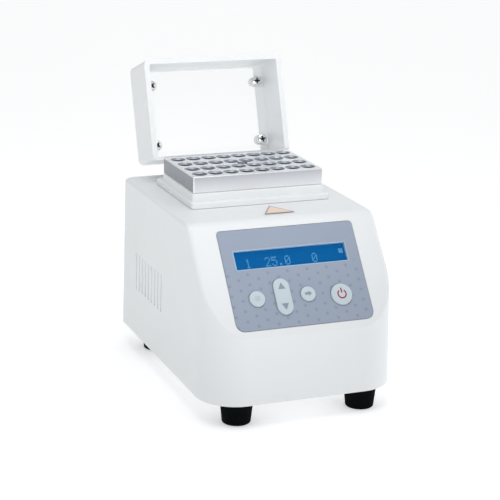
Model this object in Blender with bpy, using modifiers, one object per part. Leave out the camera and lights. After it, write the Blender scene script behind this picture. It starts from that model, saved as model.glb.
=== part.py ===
"""Dry block heater: a small bench heater with a block for 32 tubes and a hinged lid.

Metres, +Z up, front towards -Y, +X to the right seen from the front.
The origin is on the ground, under the middle of the object with its lid open.
"""
from math import atan2, cos, pi, radians, sin, sqrt, tan

import bmesh
import bpy
from mathutils import Matrix, Vector

GAP = 0.0003                      # clearance between neighbouring pieces

# Housing, a drafted shell with a sloped control face
BLOCK_Y = 0.0090                  # centre of the block
SHELL_LOW = 0.012
DECK_Z = 0.0982
DECK_HALF = 0.0526                # half width at the deck
DECK_REAR = BLOCK_Y + 0.0517
DRAFT = 0.0131                    # growth of sides and rear per metre downwards
FRONT_Y = BLOCK_Y - 0.0974        # front face at its lower edge
FRONT_DRAFT = 0.0305
SLOPE_ANGLE = radians(52.38)      # control face from the horizontal
SLOPE_EDGE_Y = BLOCK_Y - 0.0577   # where the control face would meet the deck
TOP_FOLD_R = 0.009
LOW_FOLD_R = 0.003
FRONT_CORNER_R = 0.021
REAR_CORNER_R = 0.005
RIDGE_R = 0.0028                  # rounding along the sides of the control face
TOP_EDGE_R = 0.002
WALL = 0.0022

# Control panel, measured down the slope from the overlay's top edge
PANEL_START = 0.00492             # down from the unrounded deck edge
OVERLAY_HALF = 0.03804
OVERLAY_LENGTH = 0.0547
OVERLAY_T = 0.0005
OVERLAY_RECESS = 0.0007
WINDOW_HALF = 0.03125
WINDOW_TOP = 0.0116
WINDOW_LOW = 0.0218
ROUND_KEYS = {                    # x, distance down the panel, radius
    "key_left": (-0.0240, 0.0382, 0.0043),
    "key_enter": (0.0042, 0.0382, 0.0041),
    "key_power": (0.0226, 0.0403, 0.0059),
}
ROCKER_X = -0.00975
ROCKER_DOWN = 0.0383
ROCKER_HALF = 0.0044              # half width of the oval up and down key
ROCKER_REACH = 0.0055             # centre of each round end from the middle
KEY_RISE = 0.0011                 # key tops above the slope
STEM_LOW = -0.0049
BOARD_FACE = -0.009               # display board's front, below the slope

# Surround, block and heater stack
SURROUND_HALF = 0.040
SURROUND_FRONT = BLOCK_Y - 0.0295
SURROUND_REAR = BLOCK_Y + 0.0302
RIM_HALF = 0.0381
RIM_FRONT = BLOCK_Y - 0.0254
RIM_REAR = BLOCK_Y + 0.0247
STEP_Z = 0.1016
RIM_Z = 0.10565
WELL_OPENING = (0.0365, 0.0235)
BLOCK_TOP = 0.1145
BLOCK_LOW = 0.090
FLANGE_HALF = (0.0375, 0.0246)
CORE_HALF = (0.036, 0.0230)
WELL_COLUMNS = 8
WELL_ROWS = 4
COLUMN_PITCH = 0.009
ROW_PITCH = 0.01166
WELL_RIM_R = 0.0042
WELL_R = 0.0033
WELL_DEPTH = 0.0185

# Lid, described closed and relative to its hinge axis
HINGE_Y = BLOCK_Y + 0.0328
HINGE_Z = 0.1060
LID_ANGLE = radians(108.4)        # how far the lid stands open
LID_BACK = -0.00464               # outside of its rear wall
LID_LENGTH = 0.057
LID_HALF = 0.0415
LID_HALF_DRAFT = 0.0327           # how fast the outer sides close in above the rim
LID_LOW = -0.0041                 # rim
LID_HEIGHT = 0.0336
LID_WALL = 0.0019
LID_FRONT_WALL = 0.0027
LID_INSIDE = 0.0385               # half width inside the rim
LID_INSIDE_DRAFT = 0.0446
PANE_RISE = 0.0196                # pane above the rim
PANE_T = 0.002
LID_LUG_T = 0.003
LID_LUG_R = 0.0028
LID_SCREW_X = 0.0325
LID_SCREW_Y = (-0.01464, -0.04894)
KNUCKLE_R = 0.0024
PIN_R = 0.001
LUGS = ((0.014, 0.0177), (0.0263, 0.030))
KNUCKLE = (0.018, 0.026)

# Shallow upright grooves on both sides
GROOVES = 9
GROOVE_Y = BLOCK_Y + 0.003
GROOVE_PITCH = 0.0054
GROOVE_HALF = 0.0009
GROOVE_FLOOR = 0.0524
GROOVE_LOW = 0.0395
GROOVE_HIGH = 0.0605

# Feet and base
FEET = {                          # half the width they stand apart, and place
    "front": (0.035, BLOCK_Y - 0.0865),
    "rear": (0.0383, BLOCK_Y + 0.0325),
}
BASE_T = 0.0024
POST_R = 0.0035
SUPPORT_Z = 0.070                 # underside of the plate that carries the heater
BOARD_Z = 0.020

ROUND_STEPS = 20

for stale in list(bpy.data.objects):
    bpy.data.objects.remove(stale)

PARTS = bpy.data.collections.new("dry_block_heater")
CUTTERS = bpy.data.collections.new("cutters")
bpy.context.scene.collection.children.link(PARTS)
bpy.context.scene.collection.children.link(CUTTERS)


def finish(name, colour, roughness, metallic=0.0):
    """A plain Principled material."""
    made = bpy.data.materials.new(name)
    made.use_nodes = True
    shader = made.node_tree.nodes["Principled BSDF"]
    shader.inputs["Base Color"].default_value = (*colour, 1.0)
    shader.inputs["Roughness"].default_value = roughness
    shader.inputs["Metallic"].default_value = metallic
    return made


WHITE = finish("white_abs", (0.80, 0.82, 0.83), 0.45)
RUBBER = finish("black_rubber", (0.02, 0.02, 0.022), 0.8)
ALUMINIUM = finish("aluminium", (0.62, 0.64, 0.66), 0.35, 1.0)
STEEL = finish("steel", (0.55, 0.56, 0.57), 0.3, 1.0)
OVERLAY = finish("overlay_film", (0.34, 0.42, 0.53), 0.5)
KEYCAP = finish("key_rubber", (0.53, 0.62, 0.66), 0.55)
CLEAR = finish("clear_acrylic", (0.90, 0.94, 0.96), 0.05)
DISPLAY = finish("display_blue", (0.004, 0.03, 0.35), 0.15)
FOAM = finish("insulation", (0.70, 0.66, 0.56), 0.9)
SILICONE = finish("heater_silicone", (0.45, 0.12, 0.07), 0.7)
CIRCUIT = finish("circuit_board", (0.02, 0.16, 0.07), 0.5)
BLACK = finish("black_plastic", (0.03, 0.03, 0.035), 0.5)
AMBER = finish("label_film", (0.85, 0.62, 0.42), 0.5)


def new_object(name, data, material=None):
    """Link a part, or a hidden cutter when it has no material."""
    item = bpy.data.objects.new(name, data)
    if material is None:
        CUTTERS.objects.link(item)
        item.hide_render = True
        item.display_type = 'WIRE'
        return item
    PARTS.objects.link(item)
    if not data.materials:
        data.materials.append(material)
    return item


def bevel(item, width, segments=2):
    rounding = item.modifiers.new("edge_rounding", 'BEVEL')
    rounding.width = width
    rounding.segments = segments
    rounding.limit_method = 'ANGLE'
    return item


def combine(item, other, operation='DIFFERENCE'):
    boolean = item.modifiers.new(other.name, 'BOOLEAN')
    boolean.operation = operation
    boolean.object = other
    return item


def evaluated_mesh(item):
    """The mesh that an object's modifiers or curve give."""
    bpy.context.view_layer.update()
    graph = bpy.context.evaluated_depsgraph_get()
    return bpy.data.meshes.new_from_object(item.evaluated_get(graph))


def smooth(item, angle=radians(35)):
    item.data.shade_smooth()
    item.data.set_sharp_from_angle(angle=angle)
    return item


def box(name, low, high, material=None, rounding=0.0, segments=2):
    """A block between two corners."""
    mesh = bpy.data.meshes.new(name)
    shape = bmesh.new()
    bmesh.ops.create_cube(shape, size=1.0)
    bmesh.ops.scale(shape, vec=Vector(high) - Vector(low), verts=shape.verts)
    shape.to_mesh(mesh)
    shape.free()
    item = new_object(name, mesh, material)
    item.location = (Vector(low) + Vector(high)) / 2
    if rounding:
        bevel(item, rounding, segments)
    return item


def turned(name, profile, material=None, steps=ROUND_STEPS, ring=False):
    """A turned piece; the profile of (radius, height) runs down its outer side."""
    mesh = bpy.data.meshes.new(name)
    shape = bmesh.new()
    points = [shape.verts.new((radius, 0.0, height)) for radius, height in profile]
    for first, second in zip(points, points[1:]):
        shape.edges.new((first, second))
    if ring:
        shape.edges.new((points[-1], points[0]))
    shape.to_mesh(mesh)
    shape.free()
    item = new_object(name, mesh, material)
    turn = item.modifiers.new("turning", 'SCREW')
    turn.steps = steps
    turn.render_steps = steps
    turn.use_merge_vertices = True
    turn.merge_threshold = 0.00001
    return item


def rod(name, radius, low, high, material=None, steps=12):
    """A plain cylinder along its own Z."""
    return turned(name, [(0, high), (radius, high), (radius, low), (0, low)], material, steps)


def arc(centre, radius, start, end, steps):
    """Points along a circular arc, angles in degrees."""
    angles = [radians(start + (end - start) * k / steps) for k in range(steps + 1)]
    return [(centre[0] + radius * cos(a), centre[1] + radius * sin(a)) for a in angles]


def rounded_rectangle(low, high, radius, low_radius=None, steps=4):
    """Outline from the lower right corner; the lower corners may have their own radius."""
    below = radius if low_radius is None else low_radius
    corners = (
        ((high[0] - below, low[1] + below), below, -90),
        ((high[0] - radius, high[1] - radius), radius, 0),
        ((low[0] + radius, high[1] - radius), radius, 90),
        ((low[0] + below, low[1] + below), below, 180),
    )
    points = []
    for centre, size, start in corners:
        points += arc(centre, size, start, start + 90, steps)
    return points


def stadium(half, reach, steps=10):
    """Outline of an upright oval: two half circles and straight sides."""
    return arc((0, reach), half, 0, 180, steps) + arc((0, -reach), half, 180, 360, steps)


def flat(name, outlines, thickness, material=None):
    """A plate with holes: 2D outlines filled and made thick about local Z = 0."""
    curve = bpy.data.curves.new(name, 'CURVE')
    curve.dimensions = '2D'
    curve.fill_mode = 'BOTH'
    curve.extrude = thickness / 2
    curve.render_resolution_u = 0
    for outline in outlines:
        spline = curve.splines.new('POLY')
        spline.points.add(len(outline) - 1)
        for point, (x, y) in zip(spline.points, outline):
            point.co = (x, y, 0.0, 1.0)
        spline.use_cyclic_u = True
    source = bpy.data.objects.new(name + "_outline", curve)
    PARTS.objects.link(source)
    mesh = evaluated_mesh(source)
    bpy.data.objects.remove(source)
    shape = bmesh.new()
    shape.from_mesh(mesh)
    bmesh.ops.remove_doubles(shape, verts=shape.verts, dist=0.000001)
    bmesh.ops.recalc_face_normals(shape, faces=shape.faces)
    shape.to_mesh(mesh)
    shape.free()
    mesh.materials.clear()
    return new_object(name, mesh, material)


def slab(name, outlines, low, high, material=None):
    """A flat plate lying between two heights."""
    item = flat(name, outlines, high - low, material)
    item.location.z = (low + high) / 2
    return item


def upright(name, outline, span, material=None):
    """A plate whose outline is (Y, Z) and whose thickness spans an interval of X."""
    item = flat(name, [outline], span[1] - span[0], material)
    item.rotation_euler = (pi / 2, 0.0, pi / 2)
    item.location.x = (span[0] + span[1]) / 2
    return item


def screw_mesh(name, head_r, head_h, shank_r, length, recess=True):
    """Mesh of a pan head screw, its head seated on local Z = 0."""
    crown = head_h * 0.55
    profile = [
        (0, head_h), (head_r * 0.6, head_h * 0.95), (head_r, crown), (head_r, 0), (shank_r, 0),
        (shank_r, -length + shank_r), (0, -length),
    ]
    body = turned(name, profile, STEEL, 12)
    arm = head_r * 0.55
    blade = head_r * 0.13
    floor = head_h * 0.45
    slots = []
    if recess:
        slots.append(box(name + "_recess_a", (-arm, -blade, floor), (arm, blade, head_h * 2)))
        slots.append(box(name + "_recess_b", (-blade, -arm, floor), (blade, arm, head_h * 2)))
    for slot in slots:
        combine(body, slot)
    mesh = evaluated_mesh(body)
    for used in [body] + slots:
        bpy.data.objects.remove(used)
    return mesh


def place(item, location, rotation=(0.0, 0.0, 0.0)):
    item.location = location
    item.rotation_euler = rotation
    return item


def panel_point(x, down, rise):
    """A point of the control face: down the slope from the overlay's top edge, and above it."""
    run = PANEL_START + down
    y = SLOPE_EDGE_Y - run * cos(SLOPE_ANGLE) - rise * sin(SLOPE_ANGLE)
    z = DECK_Z - run * sin(SLOPE_ANGLE) + rise * cos(SLOPE_ANGLE)
    return Vector((x, y, z))


def on_panel(item, x=0.0, down=0.0, rise=0.0):
    """Stand a piece on the control face: local Y up the slope, local Z outwards."""
    return place(item, panel_point(x, down, rise), (SLOPE_ANGLE, 0.0, 0.0))


def round_corner(before, corner, after, radius, steps):
    """Points of the arc that rounds the corner between two straight runs."""
    to_before = (before - corner).normalized()
    to_after = (after - corner).normalized()
    half = to_before.angle(to_after) / 2
    centre = corner + (to_before + to_after).normalized() * (radius / sin(half))
    start = corner + to_before * (radius / tan(half)) - centre
    end = corner + to_after * (radius / tan(half)) - centre
    turn = start.angle(end)
    fractions = [k / steps for k in range(steps + 1)]
    return [centre + (start * sin((1 - f) * turn) + end * sin(f * turn)) / sin(turn) for f in fractions]


def crossing(point_a, along_a, point_b, along_b):
    """Where two lines in a plane meet."""
    offset = point_b - point_a
    distance = offset.cross(along_b) / along_a.cross(along_b)
    return point_a + along_a * distance


def front_profile(inset, fineness):
    """(y, z) of the front, from the lower edge over the control face to the deck."""
    up_front = Vector((FRONT_DRAFT, 1.0)).normalized()
    up_slope = Vector((cos(SLOPE_ANGLE), sin(SLOPE_ANGLE)))
    back = Vector((1.0, 0.0))
    start = Vector((FRONT_Y + inset - FRONT_DRAFT * inset, SHELL_LOW - inset))
    edge = Vector((SLOPE_EDGE_Y, DECK_Z)) + Vector((sin(SLOPE_ANGLE), -cos(SLOPE_ANGLE))) * inset
    deck = Vector((0.0, DECK_Z - inset))
    low_fold = crossing(start, up_front, edge, up_slope)
    top_fold = crossing(edge, up_slope, deck, back)
    low_arc = round_corner(start, low_fold, top_fold, max(LOW_FOLD_R - inset, 0.001), 2 * fineness)
    top_arc = round_corner(low_fold, top_fold, top_fold + back, TOP_FOLD_R - inset, 3 * fineness)
    parts = 4 * fineness
    face = [low_arc[-1].lerp(top_arc[0], k / parts) for k in range(1, parts)]
    return [start] + low_arc + face + top_arc


def shell_section(front, z, inset, fineness):
    """Outline of the housing at one height, from the front round its right side."""
    edge_r = max(TOP_EDGE_R - inset, 0.0)
    above = max(z - (DECK_Z - inset - edge_r), 0.0)
    rounding = edge_r - sqrt(max(edge_r ** 2 - above ** 2, 0.0))
    half = DECK_HALF + DRAFT * (DECK_Z - z) - inset - rounding
    rear = DECK_REAR + DRAFT * (DECK_Z - z) - inset - rounding
    big = FRONT_CORNER_R - inset
    small = max(RIDGE_R - inset, 0.0006)
    big_x = half - big
    big_y = FRONT_Y + FRONT_DRAFT * (z - SHELL_LOW) + inset + big
    small_y = front + small
    if small_y < big_y:
        small_x = big_x + sqrt(max((big - small) ** 2 - (small_y - big_y) ** 2, 0.0))
        contact = atan2(small_y - big_y, small_x - big_x)
    else:
        small_x = half - small
        contact = 0.0
    small_run = small * (contact + pi / 2)
    big_run = -big * contact

    def along(run):
        """Point at a distance from the start of the front corner."""
        if run <= small_run:
            angle = run / small - pi / 2
            return (small_x + small * cos(angle), small_y + small * sin(angle))
        if run <= small_run + big_run:
            angle = contact + (run - small_run) / big
            return (big_x + big * cos(angle), big_y + big * sin(angle))
        return (half, max(big_y, small_y) + run - small_run - big_run)

    first = max(small_run, 0.001)
    last = small_run + big_run + 0.003
    ridge = 2 * fineness
    curve = 4 * fineness
    side = [along(first * k / ridge) for k in range(ridge + 1)]
    side += [along(first + (last - first) * k / curve) for k in range(1, curve + 1)]
    corner_r = REAR_CORNER_R - inset
    side += arc((half - corner_r, rear - corner_r), corner_r, 0, 90, ridge)
    return side + [(-x, y) for x, y in reversed(side)]


def shell_form(name, inset, fineness, material=None):
    """Closed loft of the housing's outside, or of the space an inset inside it."""
    mesh = bpy.data.meshes.new(name)
    shape = bmesh.new()
    rings = []
    for level in front_profile(inset, fineness):
        outline = shell_section(level.x, level.y, inset, fineness)
        rings.append([shape.verts.new((x, y, level.y)) for x, y in outline])
    count = len(rings[0])
    for lower, upper in zip(rings, rings[1:]):
        for k in range(count):
            after = (k + 1) % count
            shape.faces.new((lower[k], lower[after], upper[after], upper[k]))
    shape.faces.new(reversed(rings[0]))
    shape.faces.new(rings[-1])
    shape.to_mesh(mesh)
    shape.free()
    return new_object(name, mesh, material)


def panel_cuts(grow=0.0):
    """Outlines of the display window and the keys, about the panel's centre."""
    middle = OVERLAY_LENGTH / 2
    cuts = [rounded_rectangle((-WINDOW_HALF - grow, middle - WINDOW_LOW - grow),
                              (WINDOW_HALF + grow, middle - WINDOW_TOP + grow), 0.0004)]
    for x, down, radius in ROUND_KEYS.values():
        cuts.append(arc((x, middle - down), radius + grow, 0, 360 - 360 / 20, 19))
    oval = stadium(ROCKER_HALF + grow, ROCKER_REACH)
    cuts.append([(ROCKER_X + x, middle - ROCKER_DOWN + y) for x, y in oval])
    return cuts


def feet_places():
    """Name ending and place of each foot."""
    for end, (half, y) in FEET.items():
        yield end + "_left", -half, y
        yield end + "_right", half, y


def build_housing():
    housing = shell_form("upper_housing", 0.0, 2, WHITE)
    cavity = shell_form("housing_cavity", WALL, 1)
    post_low = SHELL_LOW + BASE_T + GAP
    for spot, x, y in feet_places():
        post = rod("post_" + spot, POST_R, post_low, 0.12, steps=10)
        combine(cavity, place(post, (x, y, 0.0)))
    board_depth = -BOARD_FACE - GAP
    for side in (-1, 1):
        for down in (0.008, 0.042):
            boss = rod("panel_boss_%d_%d" % (side, down * 1000), 0.0025, -board_depth, 0.002, steps=8)
            combine(cavity, on_panel(boss, side * 0.0385, down))
    combine(housing, cavity)

    for side in (-1, 1):
        lugs = [(side * a, side * b) for a, b in LUGS]
        for number, span in enumerate(lugs):
            outline = [(BLOCK_Y + 0.031, DECK_Z - 0.001), (BLOCK_Y + 0.0385, DECK_Z - 0.001)]
            outline += arc((HINGE_Y, HINGE_Z), KNUCKLE_R, 25, 180, 8)
            lug = upright("lug_%d_%d" % (side, number), outline, sorted(span))
            combine(housing, lug, 'UNION')
    bore = rod("hinge_bore", PIN_R + GAP, -0.05, 0.05)
    combine(housing, place(bore, (0.0, HINGE_Y, HINGE_Z), (0.0, pi / 2, 0.0)))

    opening = rounded_rectangle((-RIM_HALF - GAP, RIM_FRONT), (RIM_HALF + GAP, RIM_REAR + GAP), 0.0015)
    combine(housing, slab("deck_opening", [opening], DECK_Z - 0.01, DECK_Z + 0.0002))

    panel = [rounded_rectangle((-OVERLAY_HALF - GAP, -OVERLAY_LENGTH / 2 - GAP),
                               (OVERLAY_HALF + GAP, OVERLAY_LENGTH / 2 + GAP), 0.0022, 0.0047)]
    recess = flat("overlay_recess", panel, 0.002)
    combine(housing, on_panel(recess, 0.0, OVERLAY_LENGTH / 2, 0.001 - OVERLAY_RECESS))
    for number, outline in enumerate(panel_cuts(GAP)):
        hole = flat("panel_hole_%d" % number, [outline], 0.006)
        combine(housing, on_panel(hole, 0.0, OVERLAY_LENGTH / 2, -0.002))

    for side in (-1, 1):
        for k in range(GROOVES):
            y = GROOVE_Y + (k - (GROOVES - 1) / 2) * GROOVE_PITCH
            middle = side * (GROOVE_FLOOR + 0.004)
            low = (middle - 0.004, y - GROOVE_HALF, GROOVE_LOW)
            high = (middle + 0.004, y + GROOVE_HALF, GROOVE_HIGH)
            combine(housing, box("groove_%d_%d" % (side, k), low, high))

    jack = rod("jack_hole", 0.0041, -0.01, 0.01)
    combine(housing, place(jack, (0.028, DECK_REAR, 0.032), (pi / 2, 0.0, 0.0)))
    for spot, x, y in feet_places():
        pilot = rod("pilot_" + spot, 0.0017, 0.010, 0.028, steps=8)
        combine(housing, place(pilot, (x, y, 0.0)))
    for side in (-1, 1):
        for down in (0.008, 0.042):
            pilot = rod("boss_pilot_%d_%d" % (side, down * 1000), 0.0012, -0.010, -0.004, steps=8)
            combine(housing, on_panel(pilot, side * 0.0385, down))
    smooth(housing, radians(30))


def build_base():
    outline = shell_section(FRONT_Y + WALL + GAP, SHELL_LOW, WALL + GAP, 1)
    holes = [arc((x, y), 0.0018, 0, 330, 11) for _, x, y in feet_places()]
    plate = slab("base_plate", [outline] + holes, SHELL_LOW, SHELL_LOW + BASE_T, WHITE)
    top = SHELL_LOW + BASE_T
    for number, (x, y) in enumerate(board_corners()):
        boss = rod("base_boss_%d" % number, 0.0028, top - 0.001, BOARD_Z - GAP)
        combine(plate, place(boss, (x, y, 0.0)), 'UNION')
        pilot = rod("base_pilot_%d" % number, 0.0014, top + 0.001, BOARD_Z + 0.001, steps=12)
        combine(plate, place(pilot, (x, y, 0.0)))

    screw = screw_mesh("foot_screw", 0.0033, 0.0024, 0.0014, 0.017)
    foot_profile = [
        (0.0019, SHELL_LOW - GAP), (0.0082, SHELL_LOW - GAP), (0.0086, SHELL_LOW - 0.0008),
        (0.0075, 0.0010),
        (0.0066, 0.0), (0.0042, 0.0), (0.0040, 0.0062), (0.0019, 0.0062),
    ]
    for spot, x, y in feet_places():
        foot = turned("foot_" + spot, foot_profile, RUBBER, 24, ring=True)
        smooth(place(foot, (x, y, 0.0)))
        holder = new_object("foot_screw_" + spot, screw, STEEL)
        place(holder, (x, y, 0.0062 - GAP), (pi, 0.0, 0.0))


def build_surround():
    outline = rounded_rectangle((-SURROUND_HALF, SURROUND_FRONT), (SURROUND_HALF, SURROUND_REAR), 0.002)
    surround = slab("block_surround", [outline], DECK_Z + GAP, STEP_Z, WHITE)
    bevel(surround, 0.0005)
    skirt = rounded_rectangle((-RIM_HALF, RIM_FRONT + GAP), (RIM_HALF, RIM_REAR), 0.0013)
    combine(surround, slab("surround_skirt", [skirt], BLOCK_LOW, DECK_Z + 0.001), 'UNION')
    rim = rounded_rectangle((-RIM_HALF, RIM_FRONT), (RIM_HALF, RIM_REAR), 0.0015)
    upper = bevel(slab("surround_rim", [rim], DECK_Z + 0.001, RIM_Z), 0.0006)
    combine(surround, upper, 'UNION')
    across, deep = WELL_OPENING
    opening = rounded_rectangle((-across, BLOCK_Y - deep), (across, BLOCK_Y + deep), 0.001)
    combine(surround, slab("surround_opening", [opening], BLOCK_LOW - 0.01, RIM_Z + 0.01))
    smooth(surround, radians(30))


def build_block():
    across, deep = FLANGE_HALF
    low = (-across, BLOCK_Y - deep, RIM_Z + GAP)
    block = box("heating_block", low, (across, BLOCK_Y + deep, BLOCK_TOP), ALUMINIUM, 0.0005, 1)
    across, deep = CORE_HALF
    core = box("block_core", (-across, BLOCK_Y - deep, BLOCK_LOW), (across, BLOCK_Y + deep, 0.109))
    combine(block, core, 'UNION')
    well = turned("wells", [
        (0, 0.002), (WELL_RIM_R, 0.002), (WELL_RIM_R, 0.0), (WELL_R, -0.001), (WELL_R, -0.007),
        (0, -WELL_DEPTH),
    ], steps=12)
    first = (-(WELL_COLUMNS - 1) / 2 * COLUMN_PITCH, BLOCK_Y - (WELL_ROWS - 1) / 2 * ROW_PITCH, BLOCK_TOP)
    place(well, first)
    for count, step in ((WELL_COLUMNS, (COLUMN_PITCH, 0, 0)), (WELL_ROWS, (0, ROW_PITCH, 0))):
        repeat = well.modifiers.new("repeat", 'ARRAY')
        repeat.count = count
        repeat.use_relative_offset = False
        repeat.use_constant_offset = True
        repeat.constant_offset_displace = step
        repeat.merge_threshold = 0.00001
    combine(block, well)
    seat = turned("screw_seat", [
        (0, 0.002), (0.0029, 0.002), (0.0029, -0.0028), (0.0017, -0.0028), (0.0017, -0.03), (0, -0.03),
    ], steps=16)
    combine(block, place(seat, (0.0, BLOCK_Y, BLOCK_TOP)))

    screw = new_object("block_screw", screw_mesh("block_screw", 0.0026, 0.0021, 0.0013, 0.025), STEEL)
    place(screw, (0.0, BLOCK_Y, BLOCK_TOP - 0.0028 + GAP))


def build_heater():
    """Spreader plate, silicone heater, insulation and the plate that carries them."""
    plate_low = 0.0821
    plate = box("heater_plate", (-0.0355, BLOCK_Y - 0.0226, plate_low),
                (0.0355, BLOCK_Y + 0.0226, BLOCK_LOW - GAP), ALUMINIUM, 0.0004, 1)
    combine(plate, place(rod("plate_thread", 0.0016, 0.07, 0.10), (0.0, BLOCK_Y, 0.0)))
    probe_y = BLOCK_Y - 0.0226
    bore = rod("probe_bore", 0.0018, -0.017, 0.002)
    combine(plate, place(bore, (0.018, probe_y, 0.086), (pi / 2, 0.0, 0.0)))
    probe = rod("temperature_probe", 0.0015, -0.0165, -0.0002, STEEL)
    bevel(place(probe, (0.018, probe_y, 0.086), (pi / 2, 0.0, 0.0)), 0.0003, 1)

    mat_low = plate_low - GAP - 0.0015
    box("heater_mat", (-0.0353, BLOCK_Y - 0.0224, mat_low),
        (0.0353, BLOCK_Y + 0.0224, plate_low - GAP), SILICONE, 0.0003, 1)
    carrier_top = SUPPORT_Z + 0.0015
    pad_top = mat_low - GAP
    pocket = rounded_rectangle((-0.010, BLOCK_Y - 0.007), (0.010, BLOCK_Y + 0.007), 0.001)
    cover = rounded_rectangle((-0.0353, BLOCK_Y - 0.0224), (0.0353, BLOCK_Y + 0.0224), 0.001)
    slab("insulation_pad", [cover, pocket], carrier_top + GAP, pad_top, FOAM)
    box("thermal_cutout", (-0.0085, BLOCK_Y - 0.0055, pad_top - 0.0055),
        (0.0085, BLOCK_Y + 0.0055, pad_top), BLACK, 0.0005, 1)
    inner = rounded_rectangle((-0.0364, BLOCK_Y - 0.0234), (0.0364, BLOCK_Y + 0.0234), 0.001)
    outer = rounded_rectangle((-0.042, BLOCK_Y - 0.0286), (0.042, BLOCK_Y + 0.0286), 0.003)
    slab("insulation_collar", [outer, inner], carrier_top + GAP, BLOCK_LOW - GAP, FOAM)

    carrier = rounded_rectangle((-0.0435, BLOCK_Y - 0.0286), (0.0435, BLOCK_Y + 0.0286), 0.003)
    slab("support_plate", [carrier], SUPPORT_Z, carrier_top, STEEL)
    for end, y in (("front", BLOCK_Y - 0.022), ("rear", BLOCK_Y + 0.022)):
        for side, x in (("left", -0.0385), ("right", 0.0385)):
            post = rod("support_post_%s_%s" % (end, side), 0.003, SHELL_LOW + BASE_T + GAP, SUPPORT_Z - GAP,
                       STEEL, 12)
            smooth(place(post, (x, y, 0.0)))


def board_corners():
    return [(x, BLOCK_Y + y) for y in (-0.066, 0.010) for x in (-0.028, 0.028)]


def build_electronics():
    outline = rounded_rectangle((-0.032, BLOCK_Y - 0.070), (0.032, BLOCK_Y + 0.014), 0.0015)
    holes = [arc((x, y), 0.0016, 0, 330, 11) for x, y in board_corners()]
    board_top = BOARD_Z + 0.0016
    slab("main_board", [outline] + holes, BOARD_Z, board_top, CIRCUIT)
    screw = screw_mesh("board_screw", 0.0025, 0.0018, 0.0011, 0.006, recess=False)
    names = ("front_left", "front_right", "rear_left", "rear_right")
    for name, (x, y) in zip(names, board_corners()):
        place(new_object("board_screw_" + name, screw, STEEL), (x, y, board_top + GAP))
    capacitor = turned("filter_capacitor", [
        (0, 0.020), (0.0055, 0.020), (0.0063, 0.0193), (0.0063, 0.002), (0.0059, 0.0015), (0.0063, 0.001),
        (0.0063, 0), (0, 0),
    ], BLACK)
    smooth(place(capacitor, (-0.016, BLOCK_Y - 0.048, board_top + GAP)))
    sink_low = board_top + GAP
    sink = box("transistor_heat_sink", (0.006, BLOCK_Y - 0.056, sink_low),
               (0.024, BLOCK_Y - 0.044, sink_low + 0.020), ALUMINIUM, 0.0003, 1)
    for k in range(3):
        x = 0.0085 + k * 0.0048
        groove = box("sink_groove_%d" % k, (x, BLOCK_Y - 0.054, sink_low + 0.003),
                     (x + 0.003, BLOCK_Y - 0.040, sink_low + 0.03))
        combine(sink, groove)
    box("power_transistor", (0.010, BLOCK_Y - 0.0608, sink_low + 0.003),
        (0.020, BLOCK_Y - 0.0563, sink_low + 0.018), BLACK, 0.0004, 1)


def build_panel():
    middle = OVERLAY_LENGTH / 2
    edge = rounded_rectangle((-OVERLAY_HALF, -middle), (OVERLAY_HALF, middle), 0.002, 0.0045)
    overlay = flat("keypad_overlay", [edge] + panel_cuts(GAP), OVERLAY_T, OVERLAY)
    on_panel(overlay, 0.0, middle, GAP - OVERLAY_RECESS + OVERLAY_T / 2)

    glass = rounded_rectangle((-WINDOW_HALF, WINDOW_TOP - WINDOW_LOW), (WINDOW_HALF, 0.0), 0.0004)
    window = flat("display_window", [glass], 0.0012, CLEAR)
    on_panel(window, 0.0, WINDOW_TOP, -0.0006)

    module_deep = -BOARD_FACE - GAP
    lcd = box("lcd_module", (-0.035, -0.010, -module_deep), (0.035, 0.010, -WALL - GAP), DISPLAY, 0.0004, 1)
    on_panel(lcd, 0.0, 0.0167, (-module_deep - WALL - GAP) / 2)
    sheet = rounded_rectangle((-0.042, -0.0425), (0.042, 0.0), 0.0015)
    holes = [arc((x, -y), 0.0015, 0, 330, 11) for y in (0.004, 0.038) for x in (-0.0385, 0.0385)]
    board = flat("display_board", [sheet] + holes, 0.0016, CIRCUIT)
    on_panel(board, 0.0, 0.004, BOARD_FACE - 0.0008)
    screw = screw_mesh("panel_screw", 0.0022, 0.0014, 0.0009, 0.005, recess=False)
    number = 0
    for down in (0.008, 0.042):
        for x in (-0.0385, 0.0385):
            number += 1
            item = new_object("display_screw_%d" % number, screw, STEEL)
            turn = SLOPE_ANGLE + pi
            place(item, panel_point(x, down, BOARD_FACE - 0.0016 - GAP), (turn, 0.0, 0.0))


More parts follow.
